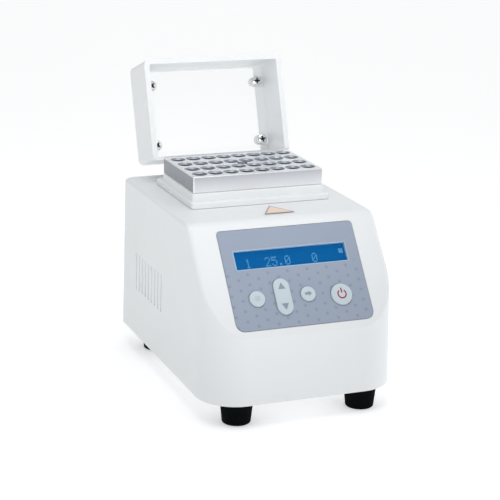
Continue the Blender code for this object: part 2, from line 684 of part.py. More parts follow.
def build_keys():
    """Push keys with a retaining flange under the panel, and the switches they press."""
    for name, (x, down, radius) in ROUND_KEYS.items():
        key = turned(name, [
            (0, KEY_RISE), (radius * 0.7, KEY_RISE * 0.93), (radius * 0.9, KEY_RISE * 0.72),
            (radius, KEY_RISE * 0.3), (radius, -WALL - GAP), (radius + 0.001, -WALL - GAP),
            (radius + 0.001, -0.0036), (0.0015, -0.0036), (0.0015, STEM_LOW), (0, STEM_LOW),
        ], KEYCAP)
        smooth(on_panel(key, x, down))
        tact_switch("switch_" + name[4:], x, down)
    rocker = flat("key_up_down", [stadium(ROCKER_HALF, ROCKER_REACH)], KEY_RISE + 0.0036, KEYCAP)
    rocker.data.transform(Matrix.Translation((0.0, 0.0, (KEY_RISE - 0.0036) / 2)))
    bevel(rocker, 0.0006)
    flange = flat("rocker_flange", [stadium(ROCKER_HALF + 0.001, ROCKER_REACH)], 0.0007)
    combine(rocker, on_panel(flange, ROCKER_X, ROCKER_DOWN, -0.00325), 'UNION')
    for side in (-1, 1):
        down = ROCKER_DOWN + side * 0.0053
        stem = rod("rocker_stem_%d" % side, 0.0015, STEM_LOW, -0.002)
        combine(rocker, on_panel(stem, ROCKER_X, down), 'UNION')
    on_panel(rocker, ROCKER_X, ROCKER_DOWN)
    tact_switch("switch_up", ROCKER_X, ROCKER_DOWN - 0.0053)
    tact_switch("switch_down", ROCKER_X, ROCKER_DOWN + 0.0053)


def tact_switch(name, x, down):
    seat = BOARD_FACE + GAP
    switch = box(name, (-0.0025, -0.0025, seat), (0.0025, 0.0025, seat + 0.0021), BLACK, 0.0003, 1)
    switch.data.transform(Matrix.Translation((0.0, 0.0, seat + 0.00105)))
    plunger = rod(name + "_plunger", 0.0013, seat + 0.001, seat + 0.0029, steps=12)
    combine(switch, on_panel(plunger, x, down), 'UNION')
    on_panel(switch, x, down)


def build_inlet():
    """Low voltage socket through the rear wall; its barrel lies along Y."""
    wall_y = DECK_REAR + DRAFT * (DECK_Z - 0.032)
    inlet = turned("dc_inlet", [
        (0.0010, 0.0010), (0.0010, -0.009), (0.0028, -0.009), (0.0028, 0.0018), (0.0056, 0.0018),
        (0.0060, 0.0014), (0.0060, GAP), (0.0038, GAP), (0.0038, -0.013), (0, -0.013), (0, 0.0014),
        (0.0006, 0.0014),
    ][::-1][0:0] or [
        (0, 0.0013), (0.0006, 0.0013), (0.0010, 0.0009), (0.0010, -0.009), (0.0028, -0.009),
        (0.0028, 0.0018), (0.0056, 0.0018), (0.0060, 0.0014), (0.0060, GAP), (0.0038, GAP),
        (0.0038, -0.013), (0, -0.013),
    ], BLACK)
    smooth(place(inlet, (0.028, wall_y, 0.032), (-pi / 2, 0.0, 0.0)))
    nut_high = -WALL - GAP
    nut = turned("dc_inlet_nut", [
        (0.0041, nut_high), (0.0062, nut_high), (0.0062, nut_high - 0.002), (0.0041, nut_high - 0.002),
    ], STEEL, 24, ring=True)
    place(nut, (0.028, wall_y, 0.032), (-pi / 2, 0.0, 0.0))


def build_label():
    """Plain triangular hot-surface label, stuck on the deck in front of the surround."""
    corners = [Vector((0.0107, -0.0496)), Vector((0.002, -0.0344)), Vector((-0.0067, -0.0496))]
    outline = []
    for k, corner in enumerate(corners):
        outline += round_corner(corners[k - 1], corner, corners[(k + 1) % 3], 0.0005, 4)
    item = slab("hot_surface_label", [outline], DECK_Z + GAP, DECK_Z + GAP + 0.0002, AMBER)
    item.location.y = BLOCK_Y


def draft_sides(item, slope):
    """Closes a piece of the lid in towards its top, on the left and on the right."""
    for vertex in item.data.vertices:
        rise = vertex.co.z + item.location.z - LID_LOW
        vertex.co.x -= (1 if vertex.co.x > 0 else -1) * slope * rise
    return item


def build_lid():
    """The lid is described closed, then its parent empty on the hinge axis opens it."""
    hinge = bpy.data.objects.new("lid_hinge", None)
    PARTS.objects.link(hinge)
    place(hinge, (0.0, HINGE_Y, HINGE_Z), (-LID_ANGLE, 0.0, 0.0))
    front = LID_BACK - LID_LENGTH
    top = LID_LOW + LID_HEIGHT
    pane_low = LID_LOW + PANE_RISE
    lug_low = pane_low + PANE_T + GAP
    in_front = front + LID_FRONT_WALL
    in_back = LID_BACK - LID_WALL

    lid = box("lid_shell", (-LID_HALF, front, LID_LOW - 0.006), (LID_HALF, LID_BACK, top), WHITE, 0.003, 3)
    lid.data.transform(Matrix.Translation(lid.location))
    lid.location = (0.0, 0.0, 0.0)
    draft_sides(lid, LID_HALF_DRAFT)
    below = box("lid_trim", (-0.06, -0.08, LID_LOW - 0.02), (0.06, 0.02, LID_LOW))
    hollow = rounded_rectangle((-LID_INSIDE, in_front), (LID_INSIDE, in_back), 0.0012)
    pocket = draft_sides(slab("lid_pocket", [hollow], LID_LOW - 0.03, top + 0.01), LID_INSIDE_DRAFT)
    for cutter in (below, pocket):
        cutter.parent = hinge
        combine(lid, cutter)
    for side in (-1, 1):
        for number, y in enumerate(LID_SCREW_Y):
            end = arc((LID_SCREW_X, y), LID_LUG_R, 90, 270, 8)
            base = [(LID_INSIDE, y - LID_LUG_R), (LID_INSIDE, y + LID_LUG_R)]
            outline = [(side * x, away) for x, away in end + base]
            lug = slab("lid_lug_%d_%d" % (side, number), [outline], lug_low, lug_low + LID_LUG_T)
            hole = rod("lid_lug_hole_%d_%d" % (side, number), 0.0017, lug_low - 0.002,
                       lug_low + 0.0023, steps=12)
            place(hole, (side * LID_SCREW_X, y, 0.0))
            for cutter, operation in ((lug, 'UNION'), (hole, 'DIFFERENCE')):
                cutter.parent = hinge
                combine(lid, cutter, operation)
        span = sorted((side * KNUCKLE[0], side * KNUCKLE[1]))
        outline = [(LID_BACK - 0.0005, 0.0055), (LID_BACK - 0.0005, -0.0038)]
        outline += arc((0.0, 0.0), KNUCKLE_R, -80, 70, 8)
        knuckle = upright("knuckle_%d" % side, outline, span)
        knuckle.parent = hinge
        combine(lid, knuckle, 'UNION')
    bore = rod("knuckle_bore", PIN_R + GAP, -0.05, 0.05)
    bore.rotation_euler = (0.0, pi / 2, 0.0)
    bore.parent = hinge
    combine(lid, bore)
    smooth(lid, radians(30))

    pane_half = LID_INSIDE - LID_INSIDE_DRAFT * (PANE_RISE + PANE_T) - GAP
    edge = rounded_rectangle((-pane_half, in_front + GAP), (pane_half, in_back - GAP), 0.001)
    holes = [arc((side * LID_SCREW_X, y), 0.0017, 0, 330, 11) for side in (-1, 1) for y in LID_SCREW_Y]
    pane = slab("lid_window", [edge] + holes, pane_low, pane_low + PANE_T, CLEAR)
    screw = screw_mesh("lid_screw", 0.003, 0.0022, 0.0014, 0.0042)
    screws = []
    for end, y in zip(("rear", "front"), LID_SCREW_Y):
        for side, x in (("left", -LID_SCREW_X), ("right", LID_SCREW_X)):
            item = new_object("lid_screw_%s_%s" % (end, side), screw, STEEL)
            screws.append(place(item, (x, y, pane_low - GAP), (pi, 0.0, 0.0)))
    for item in [lid, pane] + screws:
        item.parent = hinge

    for side, middle in (("left", -0.022), ("right", 0.022)):
        pin = rod("hinge_pin_" + side, PIN_R, -0.0083, 0.0083, STEEL)
        smooth(place(pin, (middle, HINGE_Y, HINGE_Z), (0.0, pi / 2, 0.0)))


build_housing()
build_base()
build_surround()
build_block()
build_heater()
build_electronics()
build_panel()
build_keys()
build_inlet()
build_label()
build_lid()
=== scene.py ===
"""Dry block heater: finished surfaces, printed panel, floor, light and camera.

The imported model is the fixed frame. Visible mouldings are rebuilt here with finer surfaces
in the space that their nodes hold. Metres, +Z up, front towards -Y.
"""
from math import atan2, cos, pi, radians, sin, sqrt, tan

import bmesh
import bpy
from mathutils import Matrix, Vector


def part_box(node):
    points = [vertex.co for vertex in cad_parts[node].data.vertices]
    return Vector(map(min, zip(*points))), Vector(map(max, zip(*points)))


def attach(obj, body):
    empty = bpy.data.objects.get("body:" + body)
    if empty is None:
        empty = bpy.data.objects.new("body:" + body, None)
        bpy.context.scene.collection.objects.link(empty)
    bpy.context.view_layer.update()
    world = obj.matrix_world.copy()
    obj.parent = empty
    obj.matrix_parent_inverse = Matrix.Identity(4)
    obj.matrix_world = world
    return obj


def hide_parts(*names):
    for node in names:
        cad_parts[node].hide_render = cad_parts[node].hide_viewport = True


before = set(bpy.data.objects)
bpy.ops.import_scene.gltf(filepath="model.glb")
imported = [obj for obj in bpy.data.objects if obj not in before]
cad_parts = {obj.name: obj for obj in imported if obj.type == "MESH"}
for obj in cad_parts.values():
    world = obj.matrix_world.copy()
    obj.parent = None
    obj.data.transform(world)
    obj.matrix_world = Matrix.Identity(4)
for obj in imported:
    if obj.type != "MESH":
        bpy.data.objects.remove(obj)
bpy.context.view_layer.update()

BASE = "base_unit"
LID = "lid"
GAP = 0.0003
THIN = 0.00006                    # thickness of a printed or laid-on film
SLIT = 0.0002                     # between the overlay and the keys, which rock and press

# Places read from the frame
SHELL_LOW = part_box("upper_housing")[0][2]
LABEL_LOW, LABEL_HIGH = [corner[2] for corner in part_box("hot_surface_label")]
BLOCK_MIN, BLOCK_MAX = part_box("heating_block")
BLOCK_Y = (BLOCK_MIN[1] + BLOCK_MAX[1]) / 2
BLOCK_TOP = BLOCK_MAX[2]
BLOCK_LOW = BLOCK_MIN[2]

# Housing, a drafted shell with a sloped control face
DECK_Z = 0.0982
DECK_HALF = 0.0526
DECK_REAR = BLOCK_Y + 0.0517
DRAFT = 0.0131
FRONT_Y = BLOCK_Y - 0.0974
FRONT_DRAFT = 0.0305
SLOPE_ANGLE = radians(52.38)
SLOPE_EDGE_Y = BLOCK_Y - 0.0577
TOP_FOLD_R = 0.009
LOW_FOLD_R = 0.003
FRONT_CORNER_R = 0.021
REAR_CORNER_R = 0.005
RIDGE_R = 0.0028
TOP_EDGE_R = 0.002
WALL = 0.0022

# Control panel, measured down the slope from the overlay's top edge
PANEL_START = 0.00492
OVERLAY_HALF = 0.03804
OVERLAY_LENGTH = 0.0547
OVERLAY_T = 0.0005
OVERLAY_RECESS = 0.0007
OVERLAY_TOP = GAP - OVERLAY_RECESS + OVERLAY_T
WINDOW_HALF = 0.03125
WINDOW_TOP = 0.0116
WINDOW_LOW = 0.0218
ROUND_KEYS = {                    # body, x, distance down the panel, radius
    "key_left": ("left_key", -0.0240, 0.0382, 0.0043),
    "key_enter": ("enter_key", 0.0042, 0.0382, 0.0041),
    "key_power": ("power_key", 0.0226, 0.0403, 0.0059),
}
ROCKER_X = -0.00975
ROCKER_DOWN = 0.0383
ROCKER_HALF = 0.0044
ROCKER_REACH = 0.0055
KEY_RISE = 0.0011
KEY_SHOULDER = 0.0006             # rounding of the keys' upper edges
KEY_FLOOR = -0.0036               # underside of the keys' flanges
KEY_FLANGE = 0.001
STEM_R = 0.0015                   # stems that reach the switches
STEM_LOW = -0.0049
ROCKER_STEM_REACH = 0.0053
BORDER_WIDTH = 0.0004             # light printed line round the window
MARK_LOW = KEY_RISE - 0.00008     # symbols on the keys
MARK_HIGH = KEY_RISE + 0.00003

# Faint dots printed on the overlay, two crossed grids
DOT_PITCH_X = 0.011
DOT_PITCH_Y = 0.0056
DOT_R = 0.00095
DOT_SHIFT_X = -0.0014             # moves the pattern to the right

# Display characters, seven rows of five dots
DIGITS = {
    "0": ("01110", "10001", "10011", "10101", "11001", "10001", "01110"),
    "1": ("00100", "01100", "00100", "00100", "00100", "00100", "01110"),
    "2": ("01110", "10001", "00001", "00010", "00100", "01000", "11111"),
    "5": ("11111", "10000", "11110", "00001", "00001", "10001", "01110"),
    ".": ("00000", "00000", "00000", "00000", "00000", "01100", "01100"),
}
DOT_STEP = (0.0006, 0.00074)
DOT_FILL = 0.88                   # share of its step that a lit dot covers
CHARACTER_STEP = 0.0037
TEXT_BASE = 0.0204                # lower edge of the characters, down the panel
READOUT = ((-0.0249, "1"), (-0.0141, "25.0"), (0.0123, "0"))
LIT_SQUARE = (0.0281, -0.0166)    # lower left corner of the lit mark at the right
LIT_SQUARE_SIZE = (0.0024, 0.0025)

# Surround and block
SURROUND_HALF = 0.040
SURROUND_FRONT = BLOCK_Y - 0.0295
SURROUND_REAR = BLOCK_Y + 0.0302
RIM_HALF = 0.0381
RIM_FRONT = BLOCK_Y - 0.0254
RIM_REAR = BLOCK_Y + 0.0247
STEP_Z = 0.1016
RIM_Z = 0.10565
WELL_OPENING = (0.0365, 0.0235)
FLANGE_HALF = (0.0375, 0.0246)
CORE_HALF = (0.036, 0.0230)
CORE_TOP = 0.109                  # inside the flange
WELL_COLUMNS = 8
WELL_ROWS = 4
COLUMN_PITCH = 0.009
ROW_PITCH = 0.01166
WELL_RIM_R = 0.0042
WELL_R = 0.0033
WELL_DEPTH = 0.0185

# Label on the deck
LABEL_CORNERS = ((0.0107, BLOCK_Y - 0.0496), (0.002, BLOCK_Y - 0.0344), (-0.0067, BLOCK_Y - 0.0496))
LABEL_FIELD = 0.84                # size of the pale field inside the edge
LABEL_CORNER_R = 0.0003

# Lid, described closed and relative to its hinge axis
HINGE_Y = BLOCK_Y + 0.0328
HINGE_Z = 0.1060
LID_ANGLE = radians(108.4)
LID_BACK = -0.00464
LID_LENGTH = 0.057
LID_HALF = 0.0415
LID_HALF_DRAFT = 0.0327           # how fast the outer sides close in above the rim
LID_LOW = -0.0041
LID_HEIGHT = 0.0336
LID_WALL = 0.0019
LID_FRONT_WALL = 0.0027
LID_EDGE_R = 0.003
LID_INSIDE = 0.0385               # half width inside the rim
LID_INSIDE_DRAFT = 0.0446
PANE_RISE = 0.0196
PANE_T = 0.002
LID_LUG_T = 0.003
LID_LUG_R = 0.0028
LID_SCREW_X = 0.0325
LID_SCREW_Y = (-0.01464, -0.04894)
KNUCKLE_R = 0.0024
PIN_R = 0.001
LUGS = ((0.014, 0.0177), (0.0263, 0.030))   # the housing's, from the middle outwards
LUG_FOOT = (BLOCK_Y + 0.031, BLOCK_Y + 0.0385)
KNUCKLE = (0.018, 0.026)          # the lid's, between two lugs
SCREW_HOLE_R = 0.0017

# Shallow upright grooves on both sides
GROOVES = 9
GROOVE_Y = BLOCK_Y + 0.003
GROOVE_PITCH = 0.0054
GROOVE_HALF = 0.0009
GROOVE_FLOOR = 0.0524
GROOVE_REACH = 0.004              # half the cutters' width, past the wall
GROOVE_LOW = 0.0395
GROOVE_HIGH = 0.0605

# Power socket in the rear wall
INLET_X = 0.028
INLET_Z = 0.032
INLET_HOLE_R = 0.0041

FEET = {                          # half the width they stand apart, and place
    "front": (0.035, BLOCK_Y - 0.0865),
    "rear": (0.0383, BLOCK_Y + 0.0325),
}

# Camera, a long lens; its place is taken from the middle of the block's top
CAMERA_AWAY = (-0.3091, -0.77468, 0.19466)
CAMERA_LENS = 111.59
CAMERA_SENSOR = 36.0

PANEL_FRAME = Matrix.Translation((0.0, SLOPE_EDGE_Y, DECK_Z)) @ Matrix.Rotation(SLOPE_ANGLE, 4, 'X')
LID_FRAME = Matrix.Translation((0.0, HINGE_Y, HINGE_Z)) @ Matrix.Rotation(-LID_ANGLE, 4, 'X')


# ---------------------------------------------------------------- materials

def new_material(name, colour, roughness, metallic=0.0):
    made = bpy.data.materials.new(name)
    made.use_nodes = True
    shader = made.node_tree.nodes["Principled BSDF"]
    shader.inputs["Base Color"].default_value = (*colour, 1.0)
    shader.inputs["Roughness"].default_value = roughness
    shader.inputs["Metallic"].default_value = metallic
    return made, shader


def node(made, kind, **settings):
    """A node of a material, with its properties set."""
    item = made.node_tree.nodes.new(kind)
    for key, value in settings.items():
        setattr(item, key, value)
    return item


def link(made, source, target):
    made.node_tree.links.new(source, target)


def object_coordinates(made, stretch=(1.0, 1.0, 1.0)):
    coordinates = node(made, "ShaderNodeTexCoord")
    mapping = node(made, "ShaderNodeMapping")
    mapping.inputs["Scale"].default_value = stretch
    link(made, coordinates.outputs["Object"], mapping.inputs["Vector"])
    return mapping.outputs["Vector"]


def noise(made, vector, scale, detail=3.0, roughness=0.5):
    texture = node(made, "ShaderNodeTexNoise")
    texture.inputs["Scale"].default_value = scale
    texture.inputs["Detail"].default_value = detail
    texture.inputs["Roughness"].default_value = roughness
    link(made, vector, texture.inputs["Vector"])
    return texture.outputs["Fac"]


def map_range(made, value, source, target=(0.0, 1.0), **settings):
    ranged = node(made, "ShaderNodeMapRange", **settings)
    for name, number in zip(("From Min", "From Max", "To Min", "To Max"), (*source, *target)):
        ranged.inputs[name].default_value = number
    link(made, value, ranged.inputs["Value"])
    return ranged.outputs["Result"]


def spread(made, value, low, high):
    """Maps the middle of a noise to a range."""
    return map_range(made, value, (0.3, 0.7), (low, high))


def tint(made, factor, first, second):
    """Blends two colours, each given as a value or as a socket."""
    mix = node(made, "ShaderNodeMix", data_type='RGBA')
    link(made, factor, mix.inputs["Factor"])
    sockets = [socket for socket in mix.inputs if socket.type == 'RGBA']
    for socket, colour in zip(sockets, (first, second)):
        if isinstance(colour, tuple):
            socket.default_value = (*colour, 1.0)
        else:
            link(made, colour, socket)
    return [socket for socket in mix.outputs if socket.type == 'RGBA'][0]


def bump(made, shader, height, distance):
    relief = node(made, "ShaderNodeBump")
    relief.inputs["Strength"].default_value = 1.0
    relief.inputs["Distance"].default_value = distance
    link(made, height, relief.inputs["Height"])
    link(made, relief.outputs["Normal"], shader.inputs["Normal"])


def moulded(name, colour, other, roughness, grain=1400.0, relief=0.00002, sheen=0.5):
    """Moulded plastic or rubber: fine spark-eroded grain, faint mottling and uneven gloss."""
    made, shader = new_material(name, colour, roughness)
    shader.inputs["Specular IOR Level"].default_value = sheen
    place = object_coordinates(made)
    mottle = noise(made, place, 45.0, 4.0)
    link(made, tint(made, spread(made, mottle, 0.0, 1.0), colour, other), shader.inputs["Base Color"])
    gloss = noise(made, place, 160.0)
    link(made, spread(made, gloss, roughness - 0.05, roughness + 0.06), shader.inputs["Roughness"])
    bump(made, shader, noise(made, place, grain, 2.0), relief)
    return made


def height_share(made, low, high):
    """0 up to one height of the object, 1 from another."""
    parts = node(made, "ShaderNodeSeparateXYZ")
    link(made, object_coordinates(made), parts.inputs["Vector"])
    return map_range(made, parts.outputs["Z"], (low, high))


def metal(name, colour, other, roughness, stretch=(1.0, 1.0, 1.0), grain=900.0, relief=0.00001,
          rise=None):
    """Metal with a directional or blasted finish; over a rise its colour turns into the other, as
    painted shade by height.
    """
    made, shader = new_material(name, colour, roughness, 1.0)
    place = object_coordinates(made, stretch)
    texture = noise(made, place, grain, 3.0, 0.6)
    share = height_share(made, *rise) if rise else spread(made, texture, 0.0, 1.0)
    link(made, tint(made, share, colour, other), shader.inputs["Base Color"])
    link(made, spread(made, texture, roughness - 0.06, roughness + 0.08), shader.inputs["Roughness"])
    bump(made, shader, texture, relief)
    return made


def film(name, colour, other, roughness):
    """Printed polyester film: even colour with a very fine satin tooth."""
    made, shader = new_material(name, colour, roughness)
    place = object_coordinates(made)
    link(made, tint(made, spread(made, noise(made, place, 60.0), 0.0, 1.0), colour, other),
         shader.inputs["Base Color"])
    bump(made, shader, noise(made, place, 3000.0, 1.0), 0.000004)
    return made


def overlay_film():
    """Blue-grey film with rows of small darker dots below the display."""
    colour = (0.318, 0.368, 0.463)
    made, shader = new_material("overlay_print", colour, 0.42)
    place = object_coordinates(made)
    parts = node(made, "ShaderNodeSeparateXYZ")
    link(made, place, parts.inputs["Vector"])

    def math(operation, first, second=None):
        item = node(made, "ShaderNodeMath", operation=operation)
        for socket, value in zip(item.inputs, (first, second)):
            if isinstance(value, (int, float)):
                socket.default_value = value
            elif value is not None:
                link(made, value, socket)
        return item.outputs["Value"]

    def dots(shift_x, shift_y):
        """Distance from the nearest dot of one rectangular grid."""
        away = []
        for axis, pitch, shift in (("X", DOT_PITCH_X, shift_x), ("Y", DOT_PITCH_Y, shift_y)):
            wrapped = math('WRAP', math('ADD', parts.outputs[axis], shift), pitch / 2)
            wrapped.node.inputs[2].default_value = -pitch / 2
            away.append(math('MULTIPLY', wrapped, wrapped))
        return math('SQRT', math('ADD', away[0], away[1]))

    nearest = math('MINIMUM', dots(DOT_SHIFT_X, 0.0),
                   dots(DOT_SHIFT_X + DOT_PITCH_X / 2, DOT_PITCH_Y / 2))
    inside = map_range(made, nearest, (DOT_R * 0.4, DOT_R * 1.3), (1.0, 0.0),
                       interpolation_type='SMOOTHSTEP')
    window_edge = OVERLAY_LENGTH / 2 - WINDOW_LOW
    fade = map_range(made, parts.outputs["Y"], (window_edge - 0.002, window_edge + 0.001), (1.0, 0.0))
    ground = tint(made, spread(made, noise(made, place, 40.0), 0.0, 1.0), colour, (0.305, 0.355, 0.452))
    printed = tint(made, math('MULTIPLY', inside, fade), ground, (0.255, 0.292, 0.390))
    link(made, printed, shader.inputs["Base Color"])
    bump(made, shader, noise(made, place, 3000.0, 1.0), 0.000004)
    return made


def clear_sheet(name, colour, opacity, sheen):
    """Thin polished clear sheet: it passes light straight through and keeps a faint sheen."""
    made, shader = new_material(name, colour, 0.06)
    shader.inputs["Alpha"].default_value = opacity
    shader.inputs["Specular IOR Level"].default_value = sheen
    place = object_coordinates(made)
    link(made, spread(made, noise(made, place, 300.0), 0.05, 0.09), shader.inputs["Roughness"])
    return made


def glowing(name, colour, strength):
    made, shader = new_material(name, colour, 0.6)
    shader.inputs["Emission Color"].default_value = (*colour, 1.0)
    shader.inputs["Emission Strength"].default_value = strength
    shader.inputs["Specular IOR Level"].default_value = 0.1
    place = object_coordinates(made)
    dim = tuple(part * 0.85 for part in colour)
    link(made, tint(made, spread(made, noise(made, place, 900.0), 0.0, 1.0), colour, dim),
         shader.inputs["Base Color"])
    return made


WHITE = moulded("white_moulding", (0.815, 0.832, 0.845), (0.805, 0.822, 0.835), 0.38,
                 relief=0.000004, sheen=0.4)
RUBBER = moulded("foot_rubber", (0.002, 0.003, 0.004), (0.003, 0.004, 0.005), 0.7, 900.0, 0.00003, 0.03)
BLACK = moulded("black_moulding", (0.02, 0.02, 0.022), (0.03, 0.03, 0.032), 0.45)
KEY = moulded("key_moulding", (0.56, 0.64, 0.685), (0.53, 0.61, 0.66), 0.4, 1800.0, 0.00001)
# Block sides: blasted finish with painted shade, lighter low down and darker towards the top.
BLASTED_PAINTED_SHADE = metal("blasted_aluminium_painted_shade", (0.88, 0.89, 0.92), (0.50, 0.515, 0.55), 0.34, grain=1500.0,
                rise=(RIM_Z, BLOCK_TOP))
# Painted shade: the block's left and right faces are darker, with sawn streaks.
SAWN_PAINTED_SHADE = metal("sawn_aluminium_painted_shade", (0.36, 0.37, 0.40), (0.30, 0.31, 0.34), 0.42, (1, 30, 1), 300.0)
# Machined top face; on the block's rounded edges this bright metal is a painted highlight.
FACED_EDGE_HIGHLIGHT = metal("faced_aluminium_edge_highlight", (0.93, 0.94, 0.95), (0.88, 0.89, 0.91), 0.26, relief=0.000005)
# Bored streaks, darkened as painted shade inside the wells.
BORED_PAINTED_SHADE = metal("bored_aluminium_painted_shade", (0.38, 0.41, 0.46), (0.24, 0.26, 0.31), 0.45, (1, 1, 14), 300.0)
STEEL = metal("plated_steel", (0.86, 0.86, 0.85), (0.74, 0.74, 0.74), 0.24, grain=700.0)
# Painted shade: near black in the screws' cross recesses.
RECESS_PAINTED_SHADE = metal("recess_painted_shade", (0.06, 0.06, 0.065), (0.04, 0.04, 0.045), 0.4)
CLEAR = clear_sheet("clear_acrylic", (0.90, 0.94, 0.97), 0.08, 0.3)
TINTED = clear_sheet("display_tint", (0.005, 0.06, 0.16), 0.12, 0.06)
OVERLAY = overlay_film()
BORDER = film("border_print", (0.40, 0.58, 0.76), (0.37, 0.55, 0.73), 0.4)
KEY_PRINT = film("key_print", (0.26, 0.32, 0.38), (0.23, 0.29, 0.35), 0.5)
PALE_PRINT = film("pale_print", (0.42, 0.49, 0.54), (0.39, 0.46, 0.51), 0.5)
RED_PRINT = film("red_print", (0.36, 0.008, 0.02), (0.30, 0.006, 0.016), 0.5)
LABEL_EDGE = film("label_edge", (0.42, 0.37, 0.36), (0.38, 0.34, 0.33), 0.45)
LABEL_FACE = film("label_face", (0.86, 0.66, 0.54), (0.83, 0.62, 0.50), 0.4)
DISPLAY = glowing("display_ground", (0.0, 0.092, 0.285), 0.75)
LIT = glowing("display_dots", (0.08, 0.28, 0.50), 0.72)
FELT = moulded("insulation_felt", (0.62, 0.58, 0.48), (0.50, 0.46, 0.38), 0.9, 500.0, 0.0002)
SILICONE = moulded("heater_silicone", (0.42, 0.11, 0.06), (0.36, 0.09, 0.05), 0.6)
CIRCUIT = moulded("solder_mask", (0.015, 0.13, 0.05), (0.012, 0.11, 0.04), 0.35, 400.0, 0.00002)


# ---------------------------------------------------------------- geometry

def new_object(name, data):
    item = bpy.data.objects.new(name, data)
    bpy.context.scene.collection.objects.link(item)
    return item


def evaluated_mesh(item):
    bpy.context.view_layer.update()
    graph = bpy.context.evaluated_depsgraph_get()
    return bpy.data.meshes.new_from_object(item.evaluated_get(graph))


def apply_modifiers(item, *used):
    """Bakes an object's modifiers into its mesh and removes the helpers."""
    item.data = evaluated_mesh(item)
    item.modifiers.clear()
    for helper in used:
        bpy.data.objects.remove(helper)
    return item


def shaped(item, changes):
    """Cuts or joins helpers, given as (helper, operation), and removes them."""
    for helper, operation in changes:
        boolean = item.modifiers.new(helper.name, 'BOOLEAN')
        boolean.operation = operation
        boolean.object = helper
    return apply_modifiers(item, *[helper for helper, _ in changes])


def cuts(*helpers):
    return [(helper, 'DIFFERENCE') for helper in helpers]


def bevel(item, width, segments):
    rounding = item.modifiers.new("edge_rounding", 'BEVEL')
    rounding.width = width
    rounding.segments = segments
    rounding.limit_method = 'ANGLE'
    rounding.harden_normals = True
    return apply_modifiers(item)


def smooth(item, angle):
    """Smooth curved faces, crisp edges and even flats."""
    item.data.shade_smooth()
    item.data.set_sharp_from_angle(angle=angle)
    weighted = item.modifiers.new("even_normals", 'WEIGHTED_NORMAL')
    weighted.keep_sharp = True
    return item


def paint(item, *materials):
    item.data.materials.clear()
    for material in materials:
        item.data.materials.append(material)
    return item


def ready(item, body, replaced=(), angle=30):
    """Finishes a piece: shading, the body it rides on and the nodes it stands for."""
    smooth(item, radians(angle))
    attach(item, body)
    if replaced:
        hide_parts(*replaced)
    return item


def box(name, low, high):
    mesh = bpy.data.meshes.new(name)
    shape = bmesh.new()
    bmesh.ops.create_cube(shape, size=1.0)
    bmesh.ops.scale(shape, vec=Vector(high) - Vector(low), verts=shape.verts)
    bmesh.ops.translate(shape, vec=(Vector(low) + Vector(high)) / 2, verts=shape.verts)
    shape.to_mesh(mesh)
    shape.free()
    return new_object(name, mesh)


def turned(name, profile, steps, ring=False):
    """A turned piece; the profile of (radius, height) runs down its outer side."""
    mesh = bpy.data.meshes.new(name)
    shape = bmesh.new()
    points = [shape.verts.new((radius, 0.0, height)) for radius, height in profile]
    for first, second in zip(points, points[1:]):
        shape.edges.new((first, second))
    if ring:
        shape.edges.new((points[-1], points[0]))
    shape.to_mesh(mesh)
    shape.free()
    item = new_object(name, mesh)
    turn = item.modifiers.new("turning", 'SCREW')
    turn.steps = steps
    turn.render_steps = steps
    turn.use_merge_vertices = True
    turn.merge_threshold = 0.00001
    return apply_modifiers(item)


def rod(name, radius, low, high):
    return turned(name, [(0, high), (radius, high), (radius, low), (0, low)], 32)


def arc(centre, radius, start, end, steps):
    """Points along a circular arc, angles in degrees."""
    angles = [radians(start + (end - start) * k / steps) for k in range(steps + 1)]
    return [(centre[0] + radius * cos(a), centre[1] + radius * sin(a)) for a in angles]


def circle(centre, radius, steps):
    return arc(centre, radius, 0, 360 - 360 / steps, steps - 1)


def rounded_rectangle(low, high, radius, low_radius=None, steps=8):
    """Outline from the lower right corner; the lower corners may have their own radius."""
    below = radius if low_radius is None else low_radius
    corners = (
        ((high[0] - below, low[1] + below), below, -90),
        ((high[0] - radius, high[1] - radius), radius, 0),
        ((low[0] + radius, high[1] - radius), radius, 90),
        ((low[0] + below, low[1] + below), below, 180),
    )
    points = []
    for centre, size, start in corners:
        points += arc(centre, size, start, start + 90, steps)
    return points


def stadium(half, reach):
    """Outline of an upright oval: two half circles and straight sides."""
    return arc((0, reach), half, 0, 180, 24) + arc((0, -reach), half, 180, 360, 24)


def flat(name, outlines, low, high, rounding=0.0, fineness=2):
    """A plate between two local heights: 2D outlines, the first one round the rest as holes."""
    curve = bpy.data.curves.new(name, 'CURVE')
    curve.dimensions = '2D'
    curve.fill_mode = 'BOTH'
    curve.extrude = (high - low) / 2 - rounding
    curve.bevel_depth = rounding
    curve.bevel_resolution = fineness
    curve.offset = -rounding
    curve.render_resolution_u = 0
    for outline in outlines:
        spline = curve.splines.new('POLY')
        spline.points.add(len(outline) - 1)
        for point, (x, y) in zip(spline.points, outline):
            point.co = (x, y, 0.0, 1.0)
        spline.use_cyclic_u = True
    source = new_object(name + "_outline", curve)
    mesh = evaluated_mesh(source)
    bpy.data.objects.remove(source)
    mesh.transform(Matrix.Translation((0.0, 0.0, (low + high) / 2)))
    shape = bmesh.new()
    shape.from_mesh(mesh)
    bmesh.ops.remove_doubles(shape, verts=shape.verts, dist=0.000001)
    bmesh.ops.recalc_face_normals(shape, faces=shape.faces)
    shape.to_mesh(mesh)
    shape.free()
    mesh.materials.clear()
    return new_object(name, mesh)


def upright(name, outline, span):
    """A plate whose outline is (Y, Z) and whose thickness spans an interval of X."""
    item = flat(name, [outline], span[0], span[1])
    item.data.transform(Matrix.Rotation(pi / 2, 4, 'Z') @ Matrix.Rotation(pi / 2, 4, 'X'))
    return item


def moved(item, matrix):
    item.matrix_world = matrix
    return item


def at(x, y, z):
    return Matrix.Translation((x, y, z))


def panel_place(x, down):
    """Frame on the control face: local Y up the slope, local Z outwards."""
    return PANEL_FRAME @ at(x, -PANEL_START - down, 0.0)


